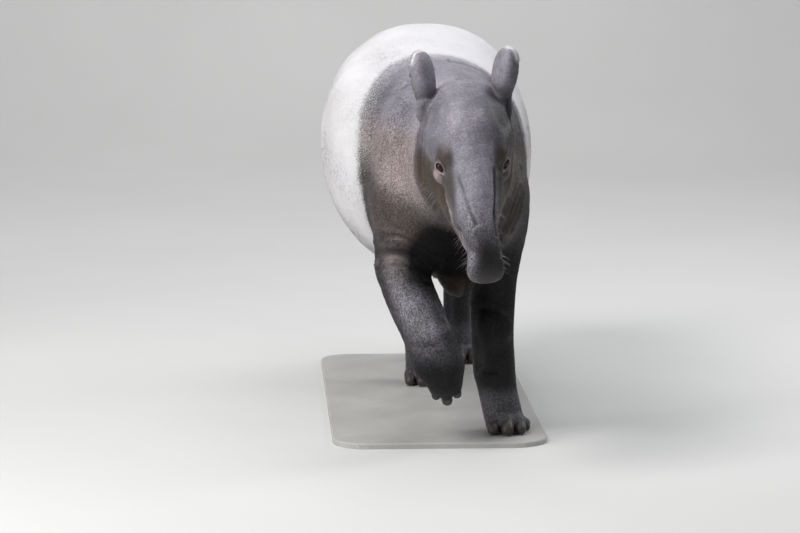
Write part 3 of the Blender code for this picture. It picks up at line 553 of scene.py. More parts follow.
CREASES = [        # (points, depth, width): grooves of the skin, working frame
    (((-0.208, -0.060, 0.535), (-0.196, -0.098, 0.548), (-0.180, -0.126, 0.556), (-0.158, -0.152, 0.558), (-0.137, -0.168, 0.553), (-0.110, -0.182, 0.540), (-0.085, -0.192, 0.525), (-0.060, -0.200, 0.510), (-0.040, -0.206, 0.500)), 0.0060, 0.0065),
    (((-0.199, -0.112, 0.484), (-0.182, -0.140, 0.503), (-0.153, -0.150, 0.509), (-0.127, -0.155, 0.505), (-0.093, -0.158, 0.483), (-0.070, -0.160, 0.455)), 0.0110, 0.0095),
    (((-0.118, -0.240, 0.280), (-0.090, -0.262, 0.277), (-0.064, -0.268, 0.284), (-0.043, -0.265, 0.295), (-0.026, -0.253, 0.308)), 0.0028, 0.0100),
    (((-0.112, -0.240, 0.256), (-0.090, -0.260, 0.260), (-0.064, -0.266, 0.260)), 0.0020, 0.0055),
    (((-0.060, -0.262, 0.232), (-0.036, -0.255, 0.225)), 0.0020, 0.0060),
    (((0.126, -0.195, 0.585), (0.131, -0.190, 0.597), (0.150, -0.185, 0.642), (0.172, -0.146, 0.698), (0.180, -0.120, 0.730)), 0.0035, 0.0085),
    (((0.118, -0.187, 0.562), (0.140, -0.181, 0.596), (0.162, -0.166, 0.639), (0.178, -0.140, 0.680)), 0.0030, 0.0075),
    (((0.150, -0.159, 0.577), (0.170, -0.146, 0.618), (0.182, -0.120, 0.668)), 0.0030, 0.0080),
    (((0.080, -0.030, 0.176), (0.094, -0.046, 0.168), (0.125, -0.050, 0.166)), 0.0040, 0.0060),
    (((0.120, -0.055, 0.335), (0.090, -0.040, 0.345), (0.140, -0.045, 0.340)), 0.0022, 0.0080),
    (((-0.0905, -0.366, 0.912), (-0.0925, -0.372, 0.890), (-0.0935, -0.374, 0.860), (-0.099, -0.372, 0.815), (-0.101, -0.360, 0.770), (-0.102, -0.345, 0.735)), 0.0055, 0.0090),
    (((0.117, -0.350, 0.937), (0.125, -0.365, 0.890), (0.130, -0.368, 0.850), (0.136, -0.366, 0.800), (0.134, -0.355, 0.750), (0.110, -0.350, 0.700)), 0.0060, 0.0080),
    (((0.062, 1.098, 0.272), (0.075, 1.060, 0.262), (0.110, 1.052, 0.262), (0.138, 1.080, 0.270)), 0.0030, 0.0070),
    (((-0.090, 0.800, 0.272), (-0.065, 0.775, 0.262), (-0.035, 0.780, 0.264)), 0.0030, 0.0070),
    (((-0.120, 0.105, 0.500), (-0.165, 0.085, 0.545), (-0.190, 0.110, 0.600)), 0.0035, 0.0120),
    (((0.150, 0.130, 0.500), (0.185, 0.120, 0.550), (0.200, 0.140, 0.600)), 0.0035, 0.0120),
]


def creases(p):
    out = np.zeros(len(p), F)
    for points, depth, width in CREASES:
        pts = np.asarray(points, float)
        lo, hi = pts.min(0) - 3 * width, pts.max(0) + 3 * width
        near = np.all((p > lo) & (p < hi), axis=1)
        if near.any():
            dist = capsules(p[near], pts, [0] * len(pts))
            out[near] += (depth * np.exp(-(dist / width) ** 2) - 0.45 * depth * np.exp(-((dist - 2.0 * width) / (0.9 * width)) ** 2)).astype(F)
    return out


# ------------------------------------------------------------------ the skin's mesh
def axis_steps(spans):
    out = [spans[0][0]]
    for a, b, step in spans:
        n = max(1, int(round((b - a) / step)))
        out += list(np.linspace(a, b, n + 1)[1:])
    return np.array(out)


def surface(X, Y, Z):
    """Surface nets of the field on a lattice of uneven steps."""
    nx, ny, nz = len(X), len(Y), len(Z)
    B = 4
    cx = [(i, min(i + B, nx)) for i in range(0, nx, B)]
    cy = [(j, min(j + B, ny)) for j in range(0, ny, B)]
    cz = [(k, min(k + B, nz)) for k in range(0, nz, B)]
    mid = lambda A, c: np.array([(A[a] + A[min(b, len(A) - 1)]) / 2 for a, b in c])
    half = lambda A, c: np.array([(A[min(b, len(A) - 1)] - A[a]) / 2 for a, b in c])
    MX, MY, MZ = np.meshgrid(mid(X, cx), mid(Y, cy), mid(Z, cz), indexing="ij")
    HX, HY, HZ = np.meshgrid(half(X, cx), half(Y, cy), half(Z, cz), indexing="ij")
    pts = np.stack([MX.ravel(), MY.ravel(), MZ.ravel()], 1).astype(F)
    coarse = field(pts)
    reach = np.sqrt(HX**2 + HY**2 + HZ**2).ravel()
    D = np.where(coarse.reshape(MX.shape) < 0, F(-1), F(1))
    D = D.repeat(B, 0)[:nx].repeat(B, 1)[:, :ny].repeat(B, 2)[:, :, :nz].copy()
    hot = np.abs(coarse) < reach * 1.35 + 0.008
    hot = hot.reshape(MX.shape).repeat(B, 0)[:nx].repeat(B, 1)[:, :ny].repeat(B, 2)[:, :, :nz]
    idx = np.nonzero(hot)
    p = np.stack([X[idx[0]], Y[idx[1]], Z[idx[2]]], 1).astype(F)
    say("lattice", nx, ny, nz, "fine points", len(p))
    vals = np.empty(len(p), F)
    step = 400000
    for a in range(0, len(p), step):
        vals[a:a + step] = field(p[a:a + step])
    vals[vals == 0] = 1e-6
    D[idx] = vals
    S = D < 0
    axes = (X, Y, Z)
    shape = (nx, ny, nz)
    stride = (ny * nz, nz, 1)
    total = np.zeros(nx * ny * nz, np.int8)
    edges = []
    for ax in range(3):
        a = [slice(None)] * 3
        b = [slice(None)] * 3
        a[ax], b[ax] = slice(0, -1), slice(1, None)
        cross = S[tuple(a)] != S[tuple(b)]
        e = np.array(np.nonzero(cross))
        others = [o for o in range(3) if o != ax]
        ok = np.ones(e.shape[1], bool)
        for o in others:
            ok &= (e[o] > 0) & (e[o] < shape[o] - 1)
        e = e[:, ok]
        d0 = D[e[0], e[1], e[2]]
        e1 = e.copy()
        e1[ax] += 1
        d1 = D[e1[0], e1[1], e1[2]]
        t = (d0 / (d0 - d1)).astype(float)
        pos = np.stack([axes[o][e[o]] for o in range(3)], 1)
        pos[:, ax] = axes[ax][e[ax]] * (1 - t) + axes[ax][e1[ax]] * t
        o1, o2 = (ax + 1) % 3, (ax + 2) % 3
        base = e[0] * stride[0] + e[1] * stride[1] + e[2]
        cells = [base - stride[o1] - stride[o2], base - stride[o2], base, base - stride[o1]]
        quad = np.stack(cells, 1)
        outward = d0 < 0
        quad[~outward] = quad[~outward][:, ::-1]
        edges.append((pos, quad))
    quads = np.vstack([q for _, q in edges])
    used, inverse = np.unique(quads, return_inverse=True)
    quads = inverse.reshape(quads.shape)
    flat_pos = np.vstack([np.repeat(pos, 4, axis=0) for pos, _ in edges])
    flat_id = quads.ravel()
    count = np.bincount(flat_id, minlength=len(used)).astype(float)
    verts = np.stack([np.bincount(flat_id, weights=flat_pos[:, i], minlength=len(used)) / count for i in range(3)], 1)
    return verts, quads


def gradient(p, e=0.0012):
    g = np.stack([field(p + np.array(o, F) * F(e)) - field(p - np.array(o, F) * F(e)) for o in ((1, 0, 0), (0, 1, 0), (0, 0, 1))], 1) / (2 * e)
    return g


def settle(verts, rounds=2, cap=0.0025):
    """Moves vertices onto the field's zero."""
    v = verts.astype(F)
    for _ in range(rounds):
        g = gradient(v)
        d = field(v)
        n2 = (g * g).sum(1) + 0.05
        move = -(d / n2)[:, None] * g
        size = np.linalg.norm(move, axis=1)
        move *= np.minimum(1, cap / (size + 1e-9))[:, None]
        v = v + move.astype(F)
    g = gradient(v)
    return v.astype(float), g / (np.linalg.norm(g, axis=1)[:, None] + 1e-9)


def mesh_from(name, verts, faces):
    mesh = bpy.data.meshes.new(name)
    faces = np.asarray(faces)
    n, k = faces.shape
    mesh.vertices.add(len(verts))
    mesh.vertices.foreach_set("co", np.asarray(verts, F).ravel())
    mesh.loops.add(n * k)
    mesh.loops.foreach_set("vertex_index", faces.astype(np.int32).ravel())
    mesh.polygons.add(n)
    mesh.polygons.foreach_set("loop_start", np.arange(0, n * k, k, dtype=np.int32))
    mesh.polygons.foreach_set("loop_total", np.full(n, k, np.int32))
    mesh.update(calc_edges=True)
    mesh.validate()
    mesh.shade_smooth()
    return mesh


def add_object(name, mesh, mats=()):
    obj = bpy.data.objects.new(name, mesh)
    bpy.context.scene.collection.objects.link(obj)
    for m in mats:
        mesh.materials.append(m)
    return obj


X = axis_steps([(-0.365, -0.165, 0.0085), (-0.165, -0.125, 0.0045), (-0.125, 0.155, 0.0028), (0.155, 0.200, 0.0045), (0.200, 0.300, 0.0085)])
Y = axis_steps([(-0.700, -0.250, 0.0028), (-0.250, 0.020, 0.0042), (0.020, 0.640, 0.0085), (0.640, 0.760, 0.0050), (0.760, 0.990, 0.0080), (0.990, 1.210, 0.0060)])
Z = axis_steps([(-0.006, 0.110, 0.0036), (0.110, 0.480, 0.0060), (0.480, 0.620, 0.0042), (0.620, 0.920, 0.0042), (0.920, 1.110, 0.0034)])
verts, quads = surface(X, Y, Z)
say("surface", len(verts), "vertices", len(quads), "quads")
skin_mesh = mesh_from("skin", verts, quads)

# ------------------------------------------------------------------ fewer faces, then back onto the field
raw = add_object("skin_raw", skin_mesh)
fewer = raw.modifiers.new("fewer", "DECIMATE")
fewer.ratio = SKIN_TRIANGLES / (2.0 * len(skin_mesh.polygons))
bpy.context.view_layer.update()
thin = bpy.data.meshes.new_from_object(raw.evaluated_get(bpy.context.evaluated_depsgraph_get()))
bpy.data.objects.remove(raw)
skin_mesh = thin
skin_mesh.name = "tapir_skin"
say("fewer faces", len(skin_mesh.polygons))
bm = bmesh.new()
bm.from_mesh(skin_mesh)
for sign in (1, -1):
    spot = from_eye(0.0, 0.0, EYE_RADIUS) * np.array([1, sign, 1])
    c = Vector(from_head(spot))
    ring = [e for e in bm.edges if min((e.verts[0].co - c).length, (e.verts[1].co - c).length) < 0.027 and e.calc_length() > 0.0016]
    bmesh.ops.subdivide_edges(bm, edges=ring, cuts=1)
bmesh.ops.triangulate(bm, faces=bm.faces[:])
bm.to_mesh(skin_mesh)
bm.free()
n = len(skin_mesh.vertices)
co = np.empty(n * 3, F)
skin_mesh.vertices.foreach_get("co", co)
verts, normals = settle(co.reshape(-1, 3))
skin_mesh.vertices.foreach_set("co", (verts + SHIFT).astype(F).ravel())
skin_mesh.update()
skin_mesh.shade_smooth()
tri = np.empty(len(skin_mesh.polygons) * 3, np.int32)
skin_mesh.polygons.foreach_get("vertices", tri)
tri = tri.reshape(-1, 3)
say("settled", n, "vertices", len(tri), "triangles")


# ------------------------------------------------------------------ markings, with painted sheen, highlights and shade, from named places on the body
def saddle(p, wander=0.0):
    """How far inside the white the place is: 1 and more is white, -1 and less is black."""
    x, b, z = p[:, 0], p[:, 1], p[:, 2]
    mid = np.interp(b, [0.1, 0.55, 1.1], [-0.005, -0.035, -0.005])
    ax = np.abs(x - mid)
    front = np.interp(z, [0.36, 0.44, 0.52, 0.62, 0.72, 0.82, 0.90, 0.96, 1.00], [0.190, 0.165, 0.150, 0.148, 0.158, 0.188, 0.238, 0.305, 0.365])
    front = front + 0.005 * np.sin(z * 37 + 1.3) + 0.002 * np.sin(z * 113)
    a = (b - front + wander) / 0.020
    rear = np.interp(b, [0.56, 0.66, 0.72, 0.80, 0.90, 1.00, 1.12], [0.30, 0.40, 0.470, 0.545, 0.600, 0.620, 0.620])
    rear = rear + 0.008 * np.sin(b * 41) + 0.004 * np.sin(b * 97 + 0.7)
    c = (z - rear + wander) / 0.018
    belly = np.maximum((ax - 0.055 + wander) / 0.016, (z - 0.44) / 0.016)
    return np.minimum(np.minimum(a, c), belly)


def around(p, centre, radii):
    """A soft spot: 1 in its middle, 0 outside."""
    q = (p - np.asarray(centre)) / np.asarray(radii)
    return np.clip(1 - (q * q).sum(1), 0, 1) ** 1.0


def ear_up(p):
    """Height up the nearer ear, far from both a negative number."""
    best = np.full(len(p), -1.0)
    for sign in (1, -1):
        base, axes = ear_frame(sign)
        e = (p - base) @ axes.T
        near = (np.sqrt((e[:, :2] ** 2).sum(1)) < np.interp(e[:, 2], [0.0, 0.03, 0.06], [0.030, 0.038, 0.052])) & (e[:, 2] > 0.004) & (e[:, 2] < 0.15)
        best = np.where(near, e[:, 2], best)
    return best


def marks(p, wander=0.0):
    """Masks of the coat's colours, with the sheen, highlights and shade painted into them, at points of the working
    frame.
    """
    p = np.asarray(p, float)
    q = (p - POLL) @ HEAD.T
    u, w, v = q[:, 0], q[:, 1], q[:, 2]
    aw = np.abs(w)
    qm = np.stack([u, aw, v], 1)
    x, b, z = p.T
    out = {}
    inside_white = saddle(p, wander)
    white = smoothstep(-1.15, 1.15, inside_white)
    # painted shade in the skin's creases: darker where the creases are deep
    crease_shade = np.clip(creases(p.astype(F)) / 0.006, 0, 1)
    ear = np.zeros(len(p))
    on_an_ear = ear_up(p)
    for sign in (1, -1):
        base, axes = ear_frame(sign)
        e = ((p - base) @ axes.T).astype(F)
        close = np.sqrt((e[:, :2] ** 2).sum(1)) < 0.06
        rim = np.abs(egg(e, (0.0135, 0.0, 0.068), EAR_IN)) + np.abs(egg(e, (-0.002, 0.0, 0.064), EAR_OUT))
        ear = np.maximum(ear, close * smoothstep(0.0085, 0.0045, rim + 0.15 * wander) * smoothstep(0.088, 0.104, e[:, 2]))
        ear = np.maximum(ear, close * smoothstep(0.1215, 0.1265, e[:, 2] + 0.10 * wander))
    out["white"] = np.maximum(white, ear)
    head = smoothstep(-0.02, 0.06, u) * smoothstep(-0.270, -0.350, b) * smoothstep(-0.34, -0.28, v)
    # the painted sheen of sky light on the glossy black coat, with some greyish hair: strongest on forehead, nose's
    # upper plane, ears, neck and shoulders
    # painted shade: the sheen fades on the head's side away from the key light, and less so on the outer part of the
    # near side
    far_side = 1 - 0.86 * smoothstep(0.022, 0.080, w)
    near_side = 1 - 0.42 * smoothstep(-0.040, -0.092, w)
    # painted shade: less sheen low on the head and towards the nose's tip, which face down
    face = far_side * near_side * (0.38 + 0.62 * smoothstep(-0.165, -0.085, v)) * (1 - 0.42 * smoothstep(0.38, 0.43, u) - 0.44 * smoothstep(0.445, 0.485, u))
    # painted shade: a darker middle of the nose's tip, and a shadow under each brow
    face = face * (1 - 0.88 * smoothstep(0.425, 0.470, u) * smoothstep(-0.004, 0.020, w))
    face = face * (1 - 0.45 * around(qm, from_eye(-0.020, 0.022, 0.004), (0.034, 0.022, 0.030)))
    # painted shade along the two upper furrows of the nose
    line_q = np.stack([u, w, v], 1).astype(F)
    for line, strength, width in ((FACE_FURROWS[0][0], 0.58, 0.0045), (FACE_FURROWS[1][0], 0.70, 0.0070)):
        face = face * (1 - strength * np.exp(-(capsules(line_q, line, [0] * len(line)) / width) ** 2))
    # painted shade on the sides of the face and nose, which face away from the light above
    flank = head * smoothstep(0.047, 0.061, aw) * smoothstep(0.170, 0.235, u)
    face = face * (1 - 0.62 * flank)
    face = 0.74 * np.clip(face, 0.02, 1)
    # painted shade on the middle of the tip, and a painted highlight on the lobe on the key light's side
    lobe_highlight = np.exp(-((u - 0.470) / 0.030) ** 2 - ((w + 0.027) / 0.015) ** 2)
    face = face * (1 - 0.88 * np.exp(-((u - 0.474) / 0.040) ** 2 - ((w - 0.009) / 0.018) ** 2)) + 0.60 * lobe_highlight * (v < -0.15)
    # painted shade: less sheen on the body's left side, away from the key light
    side = 1 - 0.74 * smoothstep(0.02, 0.11, x) * smoothstep(0.975, 0.90, z)
    # painted sheen: strong high on the neck and withers, which face the sky, weak lower down, a little on the rump
    z0 = np.clip(0.70 + 0.22 * (b + 0.10), 0.66, 0.76)
    hi = smoothstep(z0 - 0.050, z0 + 0.035, z) * smoothstep(0.62, 0.40, b)
    low = smoothstep(0.46, 0.58, z) * smoothstep(0.62, 0.40, b)
    trunk = side * (0.92 * hi + 0.20 * low * (1 - hi)) + 0.08 * smoothstep(0.40, 0.60, b)
    # less painted sheen on a spot at the top of the right shoulder and behind the withers
    trunk = trunk * (1 - 0.42 * around(p, (-0.125, -0.110, 0.885), (0.045, 0.080, 0.055)))
    trunk = trunk * (1 - 0.50 * smoothstep(0.00, 0.16, b) * smoothstep(0.97, 0.90, z))
    # painted highlight on the lit right forearm: a band down its front, a knob above the wrist and a spot at it, fading
    # below the wrist
    bump = around(p, (-0.062, -0.262, 0.318), (0.045, 0.050, 0.030))
    off = np.abs(x - np.interp(z, [0.24, 0.28, 0.32, 0.375, 0.44, 0.50], [-0.0535, -0.066, -0.083, -0.107, -0.131, -0.133]) + 0.006)
    lit_right_arm = 0.42 * smoothstep(0.215, 0.345, z) * smoothstep(0.515, 0.490, z) * (1 - 0.85 * smoothstep(0.026, 0.062, off)) * smoothstep(-0.02, -0.10, b)
    lit_right_arm = lit_right_arm + 0.075 + 0.20 * bump + 0.10 * around(p, (-0.080, -0.262, 0.262), (0.030, 0.030, 0.014))
    lit_right_arm = lit_right_arm * (0.20 + 0.80 * smoothstep(0.190, 0.255, z))
    # painted shade: little sheen on the left foreleg, which stands in the body's shade, and on the hind legs; a little
    # more towards their feet
    arm = np.where((x < 0.03) & (b < 0.10), lit_right_arm, 0.020 + 0.20 * smoothstep(0.135, 0.095, z))
    shin = 0.03 + 0.12 * smoothstep(0.135, 0.095, z)
    limb_w = smoothstep(0.535, 0.490, z)
    rest = trunk * (1 - limb_w) + limb_w * np.where(b < 0.36, arm, shin)
    grey_and_sheen = head * face + (1 - head) * rest
    # painted sheen on the ears: less on the outer part of the left ear, away from the key light, and less low on each
    # ear
    ear_tone = np.where(x > 0.05, 0.66 * (1 - 0.45 * smoothstep(0.118, 0.145, x)), 0.68) * (0.45 + 0.55 * smoothstep(0.005, 0.045, on_an_ear))
    grey_and_sheen = np.where(on_an_ear > 0.0, ear_tone, grey_and_sheen)
    # rose: the warm tint of the painted sheen on neck and shoulders
    out["rose"] = np.clip((1 - head) * smoothstep(0.88, 0.80, z) * smoothstep(0.40, 0.52, z) * (b < 0.6), 0, 1)
    # painted shadow on the chest under the head and neck, painted shade on the legs and in the creases: the black
    # darkens and the sheen goes
    chest_shadow = around(p, (-0.045, -0.175, 0.518), (0.150, 0.160, 0.135))
    shade_arm = limb_w * (1 - head) * np.where((x < 0.03) & (b < 0.10), 0.55 * smoothstep(0.265, 0.205, z), 0.45) * smoothstep(0.08, 0.16, z)
    out["painted_shade"] = np.clip(1.75 * chest_shadow * (1 - head) * smoothstep(0.0, -0.05, b) * smoothstep(-0.180, -0.085, x + 0.35 * (0.50 - z)) + 0.45 * crease_shade + shade_arm, 0, 1)
    out["grey_and_sheen"] = np.clip(grey_and_sheen * (1 - 0.50 * crease_shade) * (1 - 0.95 * np.clip(1.75 * chest_shadow * (1 - head) * smoothstep(-0.180, -0.085, x + 0.35 * (0.50 - z)), 0, 1)), 0, 1)
    mix_band = 0.55 * smoothstep(-5.5, -0.6, inside_white) * smoothstep(0.66, 0.78, z) * (b < 0.5)
    out["white"] = np.maximum(out["white"], 0.30 * mix_band * (1 - head) * (on_an_ear < 0))
    out["band"] = mix_band * (1 - head) * (on_an_ear < 0)
    cheek = around(qm, (0.185, 0.105, -0.185), (0.120, 0.075, 0.095))
    jaw = around(qm, (0.250, 0.060, -0.235), (0.150, 0.070, 0.050))
    keel = around(p, (0.012, -0.070, 0.460), (0.075, 0.110, 0.085))
    lowneck = around(p, (-0.150, -0.150, 0.620), (0.110, 0.200, 0.090)) + around(p, (0.150, -0.150, 0.620), (0.110, 0.200, 0.090))
    # painted shade under the brows, in brown
    brow = around(qm, from_eye(-0.018, 0.020, 0.010), (0.030, 0.030, 0.030))
    out["brown"] = np.clip(1.9 * cheek + 1.5 * jaw + 1.6 * keel + 0.45 * lowneck + 0.45 * brow + 0.42 * flank * smoothstep(0.40, 0.33, u), 0, 1)
    out["grey_and_sheen"] = out["grey_and_sheen"] * (1 - 0.78 * head * np.clip(1.3 * cheek + 1.2 * jaw, 0, 1))
    n_, s_, k_, rel = eye_frame(qm.astype(F))
    sl = np.where(s_ > 0, s_ / SLIT[0], s_ / SLIT[1])
    kl = np.where(k_ > 0, k_ / SLIT[2], k_ / SLIT[3])
    gate = (((np.abs(sl) + 1e-4) ** np.where(s_ > 0, 1.55, 2.0) + (np.abs(kl) + 1e-4) ** 1.9) ** 0.5 - 1) * 0.0105
    at_eye = (n_ > 0.004) * (np.sqrt((rel**2).sum(1)) < 0.045)
    rim = at_eye * np.exp(-((gate - 0.0016) / 0.0016) ** 2) * (0.30 + 0.78 * smoothstep(0.004, -0.004, k_))
    inside = at_eye * smoothstep(0.0004, -0.0008, gate)
    pouch = around(qm, from_eye(0.024, -0.027, 0.002), (0.027, 0.024, 0.026)) + 0.5 * around(qm, from_eye(0.004, -0.018, 0.010), (0.020, 0.012, 0.016))
    lidtop = at_eye * np.exp(-((gate - 0.0045) / 0.0022) ** 2) * smoothstep(0, 0.005, k_)
    line = mouth_line(u)
    lips = np.exp(-((np.abs(v - line) - 0.0065) / 0.0040) ** 2) * smoothstep(0.252, 0.275, u) * smoothstep(0.415, 0.395, u) * (aw > 0.008)
    # painted light: the side plane of the nose on the key light's side is paler
    side_plane = around(qm, (0.310, 0.056, -0.135), (0.075, 0.030, 0.035)) * (w < 0)
    tip = smoothstep(0.480, 0.496, u + 0.10 * (np.abs(w - 0.01) - 0.02)) * smoothstep(-0.165, -0.200, v)
    scars = np.zeros(len(p))
    for (ua, wa), (ub, wb) in SCARS:
        a_, b_ = np.array([ua, wa]), np.array([ub, wb])
        ab = b_ - a_
        r = q[:, :2] - a_
        t = np.clip((r @ ab) / (ab @ ab), 0, 1)
        scars = np.maximum(scars, np.exp(-(np.linalg.norm(r - t[:, None] * ab, axis=1) / 0.0018) ** 2) * (v > -0.06))
    out["pale"] = np.clip(0.95 * rim + 0.85 * pouch * (1 - 0.75 * smoothstep(0.03, 0.08, w)) + 0.20 * lidtop + 0.62 * lips + 0.55 * around(qm, (0.298, 0.058, -0.148), (0.034, 0.022, 0.018)) + 0.20 * side_plane + 0.05 * tip + 0.85 * scars, 0, 1)
    mouth = np.exp(-((v - line) / 0.0040) ** 2) * smoothstep(0.258, 0.270, u) * smoothstep(0.42, 0.40, u) * (aw > 0.004)
    mouth = np.maximum(mouth, np.clip(1.6 * around(qm, (0.292, 0.060, -0.150), (0.018, 0.024, 0.0095)), 0, 1))
    tear = at_eye * np.exp(-((s_ - 0.019) / 0.0035) ** 2 - ((k_ + 0.006) / 0.0030) ** 2)
    out["wet"] = np.clip(mouth + inside + tear, 0, 1)
    # where pale hair tips, and painted glints of light on them, speckle the black
    shoulder = smoothstep(0.46, 0.60, z) * smoothstep(0.50, 0.30, b) * (1 - head)
    arms = smoothstep(0.50, 0.45, z)
    out["grizzle_and_glint"] = np.clip(0.85 * shoulder * smoothstep(0.93, 0.80, z) + 0.30 * shoulder + 0.75 * arms * (1 - head) + 0.55 * head * smoothstep(0.30, 0.45, u) + 0.14 * head, 0, 1) * (1 - 0.6 * (on_an_ear > 0.01))
    return out


SCARS = (((0.004, -0.020), (0.007, 0.016)), ((0.134, 0.014), (0.124, 0.029)), ((0.141, 0.019), (0.133, 0.033)), ((0.171, -0.0445), (0.1722, -0.0438)), ((0.238, 0.0476), (0.2392, 0.0484)))


def store(mesh, name, values):
    att = mesh.attributes.new(name, "FLOAT", "POINT")
    att.data.foreach_set("value", np.ascontiguousarray(values, F))


MASKS = ("white", "grey_and_sheen", "rose", "brown", "pale", "wet", "grizzle_and_glint", "painted_shade")
skin_marks = marks(verts)
for key in MASKS:
    store(skin_mesh, key, skin_marks[key])
store(skin_mesh, "tone", np.full(n, 0.5))
store(skin_mesh, "glint", np.zeros(n))
store(skin_mesh, "along", np.full(n, 0.35))


# ------------------------------------------------------------------ materials
def nodes_of(name):
    mat = bpy.data.materials.new(name)
    mat.use_nodes = True
    t = mat.node_tree
    t.nodes.clear()
    out = t.nodes.new("ShaderNodeOutputMaterial")
    bsdf = t.nodes.new("ShaderNodeBsdfPrincipled")
    t.links.new(bsdf.outputs[0], out.inputs[0])
    return mat, t, bsdf


class Build:
    """Small helpers to wire a node tree."""

    def __init__(self, t):
        self.t = t

    def node(self, kind, **props):
        made = self.t.nodes.new(kind)
        for k, val in props.items():
            setattr(made, k, val)
        return made

    def put(self, socket, value):
        if hasattr(value, "is_output"):
            self.t.links.new(value, socket)
        else:
            socket.default_value = value

    def attr(self, name):
        return self.node("ShaderNodeAttribute", attribute_name=name).outputs["Fac"]

    def math(self, op, a, b=0.0, clamp=False):
        m = self.node("ShaderNodeMath", operation=op, use_clamp=clamp)
        self.put(m.inputs[0], a)
        self.put(m.inputs[1], b)
        return m.outputs[0]

    def mix(self, fac, a, b, blend="MIX"):
        m = self.node("ShaderNodeMix", data_type="RGBA", blend_type=blend)
        self.put(m.inputs[0], fac)
        self.put(m.inputs[6], a)
        self.put(m.inputs[7], b)
        return m.outputs[2]

    def noise(self, vector, scale, detail=3.0, rough=0.55):
        m = self.node("ShaderNodeTexNoise")
        self.put(m.inputs["Vector"], vector)
        m.inputs["Scale"].default_value = scale
        m.inputs["Detail"].default_value = detail
        m.inputs["Roughness"].default_value = rough
        return m.outputs["Fac"]

    def range(self, value, lo, hi, to_lo=0.0, to_hi=1.0):
        m = self.node("ShaderNodeMapRange")
        self.put(m.inputs[0], value)
        for i, x in enumerate((lo, hi, to_lo, to_hi)):
            m.inputs[i + 1].default_value = x
        return m.outputs[0]


def rgb(r, g, b):
    return (r, g, b, 1.0)


